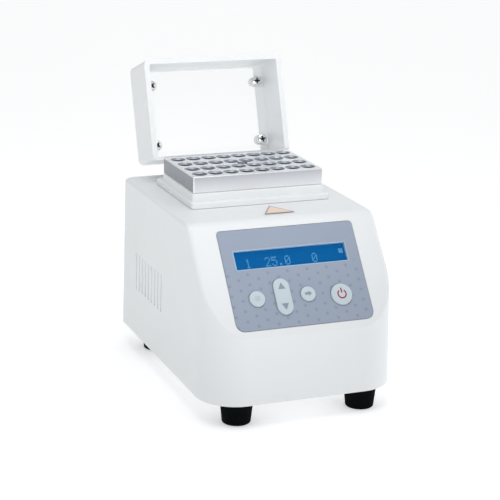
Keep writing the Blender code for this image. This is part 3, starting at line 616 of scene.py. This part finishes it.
def joined(name, items):
    """One mesh from several, which are removed; their places are kept in its vertices."""
    shape = bmesh.new()
    for item in items:
        part = evaluated_mesh(item)
        part.transform(item.matrix_world)
        shape.from_mesh(part)
        bpy.data.objects.remove(item)
    mesh = bpy.data.meshes.new(name)
    shape.to_mesh(mesh)
    shape.free()
    return new_object(name, mesh)


# ---------------------------------------------------------------- housing

def round_corner(before, corner, after, radius, steps):
    """Points of the arc that rounds the corner between two straight runs."""
    to_before = (before - corner).normalized()
    to_after = (after - corner).normalized()
    half = to_before.angle(to_after) / 2
    centre = corner + (to_before + to_after).normalized() * (radius / sin(half))
    start = corner + to_before * (radius / tan(half)) - centre
    end = corner + to_after * (radius / tan(half)) - centre
    turn = start.angle(end)
    fractions = [k / steps for k in range(steps + 1)]
    return [centre + (start * sin((1 - f) * turn) + end * sin(f * turn)) / sin(turn) for f in fractions]


def crossing(point_a, along_a, point_b, along_b):
    offset = point_b - point_a
    return point_a + along_a * (offset.cross(along_b) / along_a.cross(along_b))


def front_profile(inset, fineness):
    """(y, z) of the front, from the lower edge over the control face to the deck."""
    up_front = Vector((FRONT_DRAFT, 1.0)).normalized()
    up_slope = Vector((cos(SLOPE_ANGLE), sin(SLOPE_ANGLE)))
    back = Vector((1.0, 0.0))
    start = Vector((FRONT_Y + inset - FRONT_DRAFT * inset, SHELL_LOW - inset))
    edge = Vector((SLOPE_EDGE_Y, DECK_Z)) + Vector((sin(SLOPE_ANGLE), -cos(SLOPE_ANGLE))) * inset
    deck = Vector((0.0, DECK_Z - inset))
    low_fold = crossing(start, up_front, edge, up_slope)
    top_fold = crossing(edge, up_slope, deck, back)
    low_arc = round_corner(start, low_fold, top_fold, max(LOW_FOLD_R - inset, 0.001), 2 * fineness)
    top_arc = round_corner(low_fold, top_fold, top_fold + back, TOP_FOLD_R - inset, 3 * fineness)
    parts = 4 * fineness
    face = [low_arc[-1].lerp(top_arc[0], k / parts) for k in range(1, parts)]
    return [start] + low_arc + face + top_arc


def shell_section(front, z, inset, fineness):
    """Outline of the housing at one height, from the front round its right side."""
    edge_r = max(TOP_EDGE_R - inset, 0.0)
    above = max(z - (DECK_Z - inset - edge_r), 0.0)
    rounding = edge_r - sqrt(max(edge_r ** 2 - above ** 2, 0.0))
    half = DECK_HALF + DRAFT * (DECK_Z - z) - inset - rounding
    rear = DECK_REAR + DRAFT * (DECK_Z - z) - inset - rounding
    big = FRONT_CORNER_R - inset
    small = max(RIDGE_R - inset, 0.0006)
    big_x = half - big
    big_y = FRONT_Y + FRONT_DRAFT * (z - SHELL_LOW) + inset + big
    small_y = front + small
    if small_y < big_y:
        small_x = big_x + sqrt(max((big - small) ** 2 - (small_y - big_y) ** 2, 0.0))
        contact = atan2(small_y - big_y, small_x - big_x)
    else:
        small_x = half - small
        contact = 0.0
    small_run = small * (contact + pi / 2)
    big_run = -big * contact

    def along(run):
        """Point at a distance from the start of the front corner."""
        if run <= small_run:
            angle = run / small - pi / 2
            return (small_x + small * cos(angle), small_y + small * sin(angle))
        if run <= small_run + big_run:
            angle = contact + (run - small_run) / big
            return (big_x + big * cos(angle), big_y + big * sin(angle))
        return (half, max(big_y, small_y) + run - small_run - big_run)

    first = max(small_run, 0.001)
    last = small_run + big_run + 0.003
    ridge = 2 * fineness
    curve = 4 * fineness
    side = [along(first * k / ridge) for k in range(ridge + 1)]
    side += [along(first + (last - first) * k / curve) for k in range(1, curve + 1)]
    corner_r = REAR_CORNER_R - inset
    side += arc((half - corner_r, rear - corner_r), corner_r, 0, 90, ridge)
    return side + [(-x, y) for x, y in reversed(side)]


def shell_form(name, inset, fineness):
    """Closed loft of the housing's outside, or of the space an inset inside it."""
    mesh = bpy.data.meshes.new(name)
    shape = bmesh.new()
    rings = []
    for level in front_profile(inset, fineness):
        outline = shell_section(level.x, level.y, inset, fineness)
        rings.append([shape.verts.new((x, y, level.y)) for x, y in outline])
    count = len(rings[0])
    for lower, upper in zip(rings, rings[1:]):
        for k in range(count):
            after = (k + 1) % count
            shape.faces.new((lower[k], lower[after], upper[after], upper[k]))
    shape.faces.new(reversed(rings[0]))
    shape.faces.new(rings[-1])
    shape.to_mesh(mesh)
    shape.free()
    return new_object(name, mesh)


def panel_cuts(grow):
    """Outlines of the display window and the keys, about the panel's centre."""
    middle = OVERLAY_LENGTH / 2
    outlines = [rounded_rectangle((-WINDOW_HALF - grow, middle - WINDOW_LOW - grow),
                                  (WINDOW_HALF + grow, middle - WINDOW_TOP + grow), 0.0004)]
    for _, x, down, radius in ROUND_KEYS.values():
        outlines.append(circle((x, middle - down), radius + grow, 48))
    oval = stadium(ROCKER_HALF + grow, ROCKER_REACH)
    outlines.append([(ROCKER_X + x, middle - ROCKER_DOWN + y) for x, y in oval])
    return outlines


def build_housing():
    housing = shell_form("housing_shell", 0.0, 6)
    changes = cuts(shell_form("cavity", WALL, 2))
    for side in (-1, 1):
        for number, (near, far) in enumerate(LUGS):
            outline = [(y, DECK_Z - 0.001) for y in LUG_FOOT]
            outline += arc((HINGE_Y, HINGE_Z), KNUCKLE_R, 25, 180, 16)
            lug = upright("lug_%d_%d" % (side, number), outline, sorted((side * near, side * far)))
            changes.append((lug, 'UNION'))
    bore = rod("bore", PIN_R + GAP, -0.05, 0.05)
    changes += cuts(moved(bore, at(0.0, HINGE_Y, HINGE_Z) @ Matrix.Rotation(pi / 2, 4, 'Y')))
    opening = rounded_rectangle((-RIM_HALF - GAP, RIM_FRONT), (RIM_HALF + GAP, RIM_REAR + GAP), 0.0015)
    changes += cuts(flat("opening", [opening], DECK_Z - 0.01, DECK_Z + 0.0002))
    centre = panel_place(0.0, OVERLAY_LENGTH / 2)
    outline = rounded_rectangle((-OVERLAY_HALF - GAP, -OVERLAY_LENGTH / 2 - GAP),
                                (OVERLAY_HALF + GAP, OVERLAY_LENGTH / 2 + GAP), 0.0022, 0.0047)
    changes += cuts(moved(flat("recess", [outline], -OVERLAY_RECESS, 0.002), centre))
    for number, outline in enumerate(panel_cuts(GAP)):
        changes += cuts(moved(flat("hole_%d" % number, [outline], -0.005, 0.001), centre))
    for side in (-1, 1):
        for k in range(GROOVES):
            y = GROOVE_Y + (k - (GROOVES - 1) / 2) * GROOVE_PITCH
            middle = side * (GROOVE_FLOOR + GROOVE_REACH)
            low = (middle - GROOVE_REACH, y - GROOVE_HALF, GROOVE_LOW)
            high = (middle + GROOVE_REACH, y + GROOVE_HALF, GROOVE_HIGH)
            changes += cuts(box("groove_%d_%d" % (side, k), low, high))
    jack = rod("jack", INLET_HOLE_R, -0.01, 0.01)
    changes += cuts(moved(jack, at(INLET_X, DECK_REAR, INLET_Z) @ Matrix.Rotation(pi / 2, 4, 'X')))
    paint(shaped(housing, changes), WHITE)
    ready(housing, BASE, ["upper_housing"], 28)


def build_surround():
    step = rounded_rectangle((-SURROUND_HALF, SURROUND_FRONT), (SURROUND_HALF, SURROUND_REAR), 0.002)
    surround = flat("surround_moulding", [step], DECK_Z + THIN, STEP_Z, 0.0006, 3)
    skirt = rounded_rectangle((-RIM_HALF, RIM_FRONT + GAP), (RIM_HALF, RIM_REAR), 0.0013)
    rim = rounded_rectangle((-RIM_HALF, RIM_FRONT), (RIM_HALF, RIM_REAR), 0.0015)
    across, deep = WELL_OPENING
    opening = rounded_rectangle((-across, BLOCK_Y - deep), (across, BLOCK_Y + deep), 0.001)
    changes = [
        (flat("skirt", [skirt], BLOCK_LOW, DECK_Z + 0.001), 'UNION'),
        (flat("rim", [rim], DECK_Z + 0.0009, RIM_Z, 0.0007, 3), 'UNION'),
        (flat("opening", [opening], BLOCK_LOW - 0.01, RIM_Z + 0.01), 'DIFFERENCE'),
    ]
    paint(shaped(surround, changes), WHITE)
    ready(surround, BASE, ["block_surround"], 28)


def build_block():
    """Drilled block: blasted sides painted darker towards the top as shade, left and right faces painted
    dark as shade, rounded edges painted bright as highlights, turned wells with bright lead-in chamfers
    and walls painted dark as shade.
    """
    across, deep = FLANGE_HALF
    outline = rounded_rectangle((-across, BLOCK_Y - deep), (across, BLOCK_Y + deep), 0.0007, steps=4)
    block = flat("drilled_block", [outline], RIM_Z + THIN, BLOCK_TOP, 0.0004)
    across, deep = CORE_HALF
    core = box("core", (-across, BLOCK_Y - deep, BLOCK_LOW), (across, BLOCK_Y + deep, CORE_TOP))
    seat = turned("seat", [
        (0, 0.002), (0.0030, 0.002), (0.0030, 0), (0.0029, -0.0001), (0.0029, -0.0028),
        (0.0017, -0.0028), (0.0017, -0.03), (0, -0.03),
    ], 40)
    well = turned("well", [
        (0, 0.002), (WELL_RIM_R, 0.002), (WELL_RIM_R, 0.0), (WELL_R, -0.001), (WELL_R, -0.007),
        (0.0012, -WELL_DEPTH + 0.0015), (0.0006, -WELL_DEPTH + 0.0004), (0, -WELL_DEPTH),
    ], 36)
    first_x = -(WELL_COLUMNS - 1) / 2 * COLUMN_PITCH
    first_y = BLOCK_Y - (WELL_ROWS - 1) / 2 * ROW_PITCH
    well.location = (first_x, first_y, BLOCK_TOP)
    for count, step in ((WELL_COLUMNS, (COLUMN_PITCH, 0, 0)), (WELL_ROWS, (0, ROW_PITCH, 0))):
        repeat = well.modifiers.new("repeat", 'ARRAY')
        repeat.count = count
        repeat.use_relative_offset = False
        repeat.use_constant_offset = True
        repeat.constant_offset_displace = step
        repeat.merge_threshold = 0.00001
    changes = [(core, 'UNION')] + cuts(well, moved(seat, at(0.0, BLOCK_Y, BLOCK_TOP)))
    paint(shaped(block, changes), BLASTED_PAINTED_SHADE, FACED_EDGE_HIGHLIGHT, SAWN_PAINTED_SHADE, BORED_PAINTED_SHADE)
    across, deep = FLANGE_HALF
    for face in block.data.polygons:
        x, y, z = abs(face.center.x), abs(face.center.y - BLOCK_Y), face.center.z
        # well walls: painted shade
        if x < across - 0.001 and y < deep - 0.0015 and face.normal.z < 0.95:
            face.material_index = 3
        # left and right faces: painted shade
        elif abs(face.normal.x) > 0.98 and z > RIM_Z:
            face.material_index = 2
        # front, back and lower faces: blasted, with painted shade by height
        elif abs(face.normal.y) > 0.98 or z < RIM_Z:
            face.material_index = 0
        # top face, and the rounded edges as a painted highlight
        else:
            face.material_index = 1
    ready(block, BASE, ["heating_block"], 28)


# ---------------------------------------------------------------- screws

def pan_screw(name, head_r, head_h, shank_r, length):
    """Pan head screw with a cross recess painted dark as shade, its head seated on local Z = 0."""
    turns = [radians(12 * k) for k in range(8)]
    crown = [(head_r * sin(turn), head_h * (0.45 + 0.55 * cos(turn))) for turn in turns]
    profile = [(0, head_h)] + crown[1:] + [(head_r, head_h * 0.4), (head_r * 0.97, 0.0), (shank_r, 0.0)]
    profile += [(shank_r, -length + shank_r), (0, -length)]
    body = turned(name, profile, 48)
    arm = head_r * 0.58
    blade = head_r * 0.17
    floor = head_h * 0.35
    helpers = [
        box("arm_a", (-arm, -blade, floor), (arm, blade, head_h * 2)),
        box("arm_b", (-blade, -arm, floor), (blade, arm, head_h * 2)),
        turned("cone", [(0, head_h * 2), (arm * 0.55, head_h * 2), (arm * 0.5, head_h * 0.8),
                        (0, floor * 0.6)], 24),
    ]
    paint(shaped(body, cuts(*helpers)), STEEL, RECESS_PAINTED_SHADE)
    # Faces inside the cross recess get the painted shade.
    for face in body.data.polygons:
        away = Vector(face.center.xy).length / head_r
        in_shaded_recess = away < 0.62 and 0 < face.center.z < head_h * (0.42 + 0.55 * sqrt(1 - away ** 2))
        face.material_index = 1 if in_shaded_recess else 0
    return body


def build_lid_screws(pane_low):
    first = pan_screw("lid_screw_head_1", 0.003, 0.0022, 0.0014, 0.0042)
    number = 0
    for end, y in zip(("rear", "front"), LID_SCREW_Y):
        for side, x in (("left", -LID_SCREW_X), ("right", LID_SCREW_X)):
            number += 1
            item = first if number == 1 else new_object("lid_screw_head_%d" % number, first.data)
            twist = Matrix.Rotation(radians(17 + 41 * number), 4, 'Z')
            moved(item, LID_FRAME @ at(x, y, pane_low - GAP) @ Matrix.Rotation(pi, 4, 'X') @ twist)
            ready(item, LID, ["lid_screw_%s_%s" % (end, side)])


def draft_sides(item, slope):
    """Closes a piece of the lid in towards its top, on the left and on the right."""
    for vertex in item.data.vertices:
        vertex.co.x -= (1 if vertex.co.x > 0 else -1) * slope * (vertex.co.z - LID_LOW)
    return item


def build_lid():
    front = LID_BACK - LID_LENGTH
    top = LID_LOW + LID_HEIGHT
    pane_low = LID_LOW + PANE_RISE
    lug_low = pane_low + PANE_T + GAP
    in_front = front + LID_FRONT_WALL
    in_back = LID_BACK - LID_WALL
    below = LID_LOW - 2 * LID_EDGE_R
    lid = box("lid_moulding", (-LID_HALF, front, below), (LID_HALF, LID_BACK, top))
    draft_sides(bevel(lid, LID_EDGE_R, 8), LID_HALF_DRAFT)
    hollow = rounded_rectangle((-LID_INSIDE, in_front), (LID_INSIDE, in_back), 0.0012)
    changes = cuts(
        box("trim", (-0.06, -0.08, LID_LOW - 0.02), (0.06, 0.02, LID_LOW)),
        draft_sides(flat("pocket", [hollow], LID_LOW - 0.03, top + 0.01), LID_INSIDE_DRAFT),
    )
    for side in (-1, 1):
        for number, y in enumerate(LID_SCREW_Y):
            end = arc((LID_SCREW_X, y), LID_LUG_R, 90, 270, 24)
            base = [(LID_INSIDE, y - LID_LUG_R), (LID_INSIDE, y + LID_LUG_R)]
            outline = [(side * x, away) for x, away in end + base]
            lug = flat("lug_%d_%d" % (side, number), [outline], lug_low, lug_low + LID_LUG_T)
            hole = rod("screw_hole_%d_%d" % (side, number), SCREW_HOLE_R,
                       lug_low - 0.002, lug_low + 0.0023)
            changes += [(lug, 'UNION')] + cuts(moved(hole, at(side * LID_SCREW_X, y, 0.0)))
        outline = [(LID_BACK - 0.0005, 0.0055), (LID_BACK - 0.0005, -0.0038)]
        outline += arc((0.0, 0.0), KNUCKLE_R, -80, 70, 16)
        span = sorted((side * KNUCKLE[0], side * KNUCKLE[1]))
        changes.append((upright("knuckle_%d" % side, outline, span), 'UNION'))
    bore = rod("pin_bore", PIN_R + GAP, -0.05, 0.05)
    changes += cuts(moved(bore, Matrix.Rotation(pi / 2, 4, 'Y')))
    paint(shaped(lid, changes), WHITE)
    moved(lid, LID_FRAME)
    ready(lid, LID, ["lid_shell"], 28)

    pane_half = LID_INSIDE - LID_INSIDE_DRAFT * (PANE_RISE + PANE_T) - GAP
    edge = rounded_rectangle((-pane_half, in_front + GAP), (pane_half, in_back - GAP), 0.001)
    holes = [circle((side * LID_SCREW_X, y), SCREW_HOLE_R, 24) for side in (-1, 1) for y in LID_SCREW_Y]
    pane = flat("lid_pane", [edge] + holes, pane_low, pane_low + PANE_T, 0.0002, 1)
    moved(paint(pane, CLEAR), LID_FRAME)
    ready(pane, LID, ["lid_window"])
    build_lid_screws(pane_low)


# ---------------------------------------------------------------- panel

def dot(low_x, low_y, size, rise):
    return box("dot", (low_x, low_y, rise), (low_x + size[0], low_y + size[1], rise + THIN))


def build_display():
    glass = rounded_rectangle((-WINDOW_HALF, WINDOW_TOP - WINDOW_LOW), (WINDOW_HALF, 0.0), 0.0004)
    lens = flat("display_lens", [glass], -0.0012, -0.0001, 0.0001, 1)
    moved(paint(lens, TINTED), panel_place(0.0, WINDOW_TOP))
    ready(lens, BASE, ["display_window"])

    inner = rounded_rectangle((-WINDOW_HALF, -WINDOW_LOW), (WINDOW_HALF, -WINDOW_TOP), 0.0003)
    outer = rounded_rectangle((-WINDOW_HALF - BORDER_WIDTH, -WINDOW_LOW - BORDER_WIDTH),
                              (WINDOW_HALF + BORDER_WIDTH, -WINDOW_TOP + BORDER_WIDTH), 0.0005)
    border = flat("display_border", [outer, inner], OVERLAY_TOP, OVERLAY_TOP + THIN)
    ready(paint(moved(border, panel_place(0.0, 0.0)), BORDER), BASE)

    rise = -WALL - GAP + THIN
    size = [step * DOT_FILL for step in DOT_STEP]
    dots = []
    for start, text in READOUT:
        for place, character in enumerate(text):
            for row, line in enumerate(DIGITS[character]):
                for column, lit in enumerate(line):
                    if lit == "1":
                        x = start + place * CHARACTER_STEP + column * DOT_STEP[0]
                        y = -TEXT_BASE + (6 - row) * DOT_STEP[1]
                        dots.append(dot(x, y, size, rise))
    dots.append(dot(*LIT_SQUARE, LIT_SQUARE_SIZE, rise))
    readout = joined("display_readout", dots)
    ready(paint(moved(readout, panel_place(0.0, 0.0)), LIT), BASE)
    dress_node("lcd_module", DISPLAY)


def dress_node(name, material):
    """Gives a CAD node a finished material; its shape stays."""
    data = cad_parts[name].data
    data.materials.clear()
    data.materials.append(material)


def build_panel():
    middle = OVERLAY_LENGTH / 2
    edge = rounded_rectangle((-OVERLAY_HALF, -middle), (OVERLAY_HALF, middle), 0.002, 0.0045)
    outlines = [edge] + panel_cuts(SLIT)
    overlay = flat("panel_overlay", outlines, OVERLAY_TOP - OVERLAY_T, OVERLAY_TOP, 0.00008, 1)
    moved(paint(overlay, OVERLAY), panel_place(0.0, middle))
    ready(overlay, BASE, ["keypad_overlay"])


def key_profile(radius):
    """Crowned top, rounded shoulder, straight side, flange and stem."""
    side = radius - KEY_SHOULDER
    crown_drop = 0.00012
    crown = [(side * k / 6, KEY_RISE - crown_drop * (k / 6) ** 2) for k in range(7)]
    turns = [radians(15 * k) for k in range(1, 7)]
    shoulder = [(side + KEY_SHOULDER * sin(turn), KEY_RISE - crown_drop - KEY_SHOULDER * (1 - cos(turn)))
                for turn in turns]
    return crown + shoulder + [
        (radius, -WALL - GAP), (radius + KEY_FLANGE, -WALL - GAP), (radius + KEY_FLANGE, KEY_FLOOR),
        (STEM_R, KEY_FLOOR), (STEM_R, STEM_LOW), (0, STEM_LOW),
    ]


def print_on_key(name, outlines, body, place, material):
    mark = flat(name, outlines, MARK_LOW, MARK_HIGH)
    ready(paint(moved(mark, place), material), body)


def build_keys():
    for name, (body, x, down, radius) in ROUND_KEYS.items():
        key = moved(turned(name + "_cap", key_profile(radius), 72), panel_place(x, down))
        ready(paint(key, KEY), body, [name], 35)
    body, x, down, _ = ROUND_KEYS["key_enter"]
    arrow = [(-0.0019, -0.0007), (0.0001, -0.0007), (0.0001, -0.0014), (0.0019, 0.0), (0.0001, 0.0014),
             (0.0001, 0.0007), (-0.0019, 0.0007)]
    print_on_key("enter_arrow", [arrow], body, panel_place(x, down), KEY_PRINT)
    body, x, down, _ = ROUND_KEYS["key_power"]
    ring = arc((0, 0), 0.0026, 125, 415, 40) + arc((0, 0), 0.0019, 415, 125, 40)
    bar = rounded_rectangle((-0.00035, 0.0006), (0.00035, 0.0034), 0.0002)
    print_on_key("power_ring", [ring], body, panel_place(x, down), RED_PRINT)
    print_on_key("power_bar", [bar], body, panel_place(x, down), RED_PRINT)
    body, x, down, _ = ROUND_KEYS["key_left"]
    for k in (-1, 0, 1):
        line = rounded_rectangle((-0.0014, k * 0.0009 - 0.0002), (0.0014, k * 0.0009 + 0.0002), 0.00015)
        print_on_key("menu_line_%d" % (k + 2), [line], body, panel_place(x, down), PALE_PRINT)

    centre = panel_place(ROCKER_X, ROCKER_DOWN)
    oval = stadium(ROCKER_HALF, ROCKER_REACH)
    rocker = flat("rocker_cap", [oval], KEY_FLOOR, KEY_RISE, KEY_SHOULDER, 4)
    wide = stadium(ROCKER_HALF + KEY_FLANGE, ROCKER_REACH)
    helpers = [flat("flange", [wide], KEY_FLOOR, KEY_FLOOR + 0.0007)]
    for side in (-1, 1):
        stem = rod("stem_%d" % side, STEM_R, STEM_LOW, -0.002)
        helpers.append(moved(stem, at(0.0, side * ROCKER_STEM_REACH, 0.0)))
    shaped(rocker, [(helper, 'UNION') for helper in helpers])
    ready(paint(moved(rocker, centre), KEY), "up_down_key", ["key_up_down"], 35)
    for name, side in (("up", 1), ("down", -1)):
        triangle = [(-0.0020, side * 0.0039), (0.0020, side * 0.0039), (0.0, side * 0.0075)]
        print_on_key("rocker_" + name, [triangle[::side]], "up_down_key", centre, KEY_PRINT)


def build_label():
    """Plain triangular label: a darker edge and a pale amber field."""
    corners = [Vector(corner) for corner in LABEL_CORNERS]
    centre = sum(corners, Vector((0.0, 0.0))) / 3
    layers = (("label_edge", 1.0, 0.0, LABEL_EDGE), ("label_face", LABEL_FIELD, THIN, LABEL_FACE))
    for name, share, rise, material in layers:
        points = [centre + (corner - centre) * share for corner in corners]
        outline = []
        for k, corner in enumerate(points):
            outline += round_corner(points[k - 1], corner, points[(k + 1) % 3], LABEL_CORNER_R, 6)
        item = flat(name, [outline], LABEL_LOW + rise, LABEL_HIGH - THIN + rise)
        replaced = ["hot_surface_label"] if name == "label_edge" else []
        ready(paint(item, material), BASE, replaced)


# ---------------------------------------------------------------- feet and small parts

def build_feet():
    top = SHELL_LOW - GAP
    profile = [(0.0019, top), (0.0082, top), (0.0085, top - 0.0003), (0.0086, top - 0.0008),
               (0.0076, 0.0014)]
    profile += arc((0.0066, 0.0010), 0.0010, 0, -90, 6)
    profile += [(0.0045, 0.0), (0.0042, 0.0003), (0.0040, 0.0062), (0.0019, 0.0062)]
    first = None
    for end, (half, y) in FEET.items():
        for side, x in (("left", -half), ("right", half)):
            name = "%s_%s" % (end, side)
            if first:
                foot = new_object("rubber_foot_" + name, first.data)
            else:
                foot = first = paint(turned("rubber_foot_" + name, profile, 72, True), RUBBER)
            ready(moved(foot, at(x, y, 0.0)), BASE, ["foot_" + name])


def build_inlet():
    """Round low voltage socket with a centre pin, through the rear wall."""
    wall_y = DECK_REAR + DRAFT * (DECK_Z - INLET_Z)
    profile = [
        (0, 0.0013), (0.0006, 0.0013), (0.0010, 0.0009), (0.0010, -0.009), (0.0028, -0.009),
        (0.0028, 0.0015), (0.0031, 0.0018), (0.0055, 0.0018), (0.0060, 0.0013), (0.0060, GAP),
        (0.0038, GAP), (0.0038, -0.013), (0, -0.013),
    ]
    inlet = turned("power_socket", profile, 64)
    moved(paint(inlet, BLACK), at(INLET_X, wall_y, INLET_Z) @ Matrix.Rotation(-pi / 2, 4, 'X'))
    ready(inlet, BASE, ["dc_inlet"])


NODE_FINISHES = {
    "base_plate": WHITE, "block_screw": STEEL, "dc_inlet_nut": STEEL, "heater_plate": BORED_PAINTED_SHADE,
    "temperature_probe": STEEL, "heater_mat": SILICONE, "insulation_pad": FELT,
    "insulation_collar": FELT, "support_plate": STEEL, "main_board": CIRCUIT,
    "display_board": CIRCUIT, "thermal_cutout": BLACK, "filter_capacitor": BLACK,
    "power_transistor": BLACK, "transistor_heat_sink": BLASTED_PAINTED_SHADE, "hinge_pin_left": STEEL,
    "hinge_pin_right": STEEL,
}


def finish_nodes():
    """Every CAD node that stays gets a finished material."""
    for name, material in NODE_FINISHES.items():
        dress_node(name, material)
    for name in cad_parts:
        if name.startswith(("foot_screw", "board_screw", "display_screw", "support_post")):
            dress_node(name, STEEL)
        if name.startswith("switch_"):
            dress_node(name, BLACK)


# ---------------------------------------------------------------- stage

def aimed_light(name, kind, place, target, power):
    lamp = bpy.data.lights.new(name, kind)
    lamp.energy = power
    item = new_object(name, lamp)
    item.location = place
    item.rotation_euler = (Vector(target) - Vector(place)).to_track_quat('-Z', 'Y').to_euler()
    return lamp


def area_light(name, place, target, size, power):
    lamp = aimed_light(name, 'AREA', place, target, power)
    lamp.shape = 'RECTANGLE'
    lamp.size, lamp.size_y = size


def spot_light(name, place, target, cone, power):
    lamp = aimed_light(name, 'SPOT', place, target, power)
    lamp.spot_size = cone
    lamp.spot_blend = 0.5
    lamp.shadow_soft_size = 0.1


def build_stage():
    mesh = bpy.data.meshes.new("floor")
    shape = bmesh.new()
    bmesh.ops.create_grid(shape, x_segments=1, y_segments=1, size=6.0)
    shape.to_mesh(mesh)
    shape.free()
    floor = new_object("floor", mesh)
    made, shader = new_material("floor_paper", (0.90, 0.90, 0.90), 0.9)
    shader.inputs["Specular IOR Level"].default_value = 0.1
    shader.inputs["Emission Color"].default_value = (1.0, 1.0, 1.0, 1.0)
    shader.inputs["Emission Strength"].default_value = 0.37
    floor.data.materials.append(made)

    world = bpy.data.worlds.new("studio")
    bpy.context.scene.world = world
    world.use_nodes = True
    tree = world.node_tree
    background = tree.nodes["Background"]
    direction = tree.nodes.new("ShaderNodeTexCoord")
    parts = tree.nodes.new("ShaderNodeSeparateXYZ")
    ramp = tree.nodes.new("ShaderNodeMapRange")
    ramp.inputs["To Min"].default_value = 0.50
    ramp.inputs["To Max"].default_value = 1.25
    tree.links.new(direction.outputs["Generated"], parts.inputs["Vector"])
    tree.links.new(parts.outputs["X"], ramp.inputs["Value"])
    tree.links.new(ramp.outputs["Result"], background.inputs["Strength"])
    background.inputs["Color"].default_value = (0.975, 0.992, 1.0, 1.0)
    area_light("overhead", (-0.06, -0.06, 0.50), (0.0, 0.0, 0.06), (0.3, 0.3), 0.62)
    spot_light("lid_spot", (-0.35, -1.0, 0.22), (0.0, 0.03, 0.135), radians(6.2), 42.0)


def build_camera():
    """Turned to the right and down, with the slight tilt of a hand-held view."""
    turn, down, tilt = radians(22.115), radians(16.347), radians(1.310)
    lens = bpy.data.cameras.new("camera")
    lens.sensor_width = CAMERA_SENSOR
    lens.lens = CAMERA_LENS
    item = new_object("camera", lens)
    forward = Vector((sin(turn) * cos(down), cos(turn) * cos(down), -sin(down)))
    right = Vector((cos(turn), -sin(turn), 0.0))
    up = right.cross(forward)
    right_tilted = right * cos(tilt) + up * sin(tilt)
    up_tilted = up * cos(tilt) - right * sin(tilt)
    axes = Matrix((right_tilted, up_tilted, -forward)).transposed()
    x, y, z = CAMERA_AWAY
    item.matrix_world = at(x, BLOCK_Y + y, BLOCK_TOP + z) @ axes.to_4x4()
    bpy.context.scene.camera = item


build_camera()
build_housing()
build_surround()
build_block()
build_lid()
build_panel()
build_display()
build_keys()
build_label()
build_feet()
build_inlet()
finish_nodes()
build_stage()
bpy.context.scene.view_settings.view_transform = 'Standard'
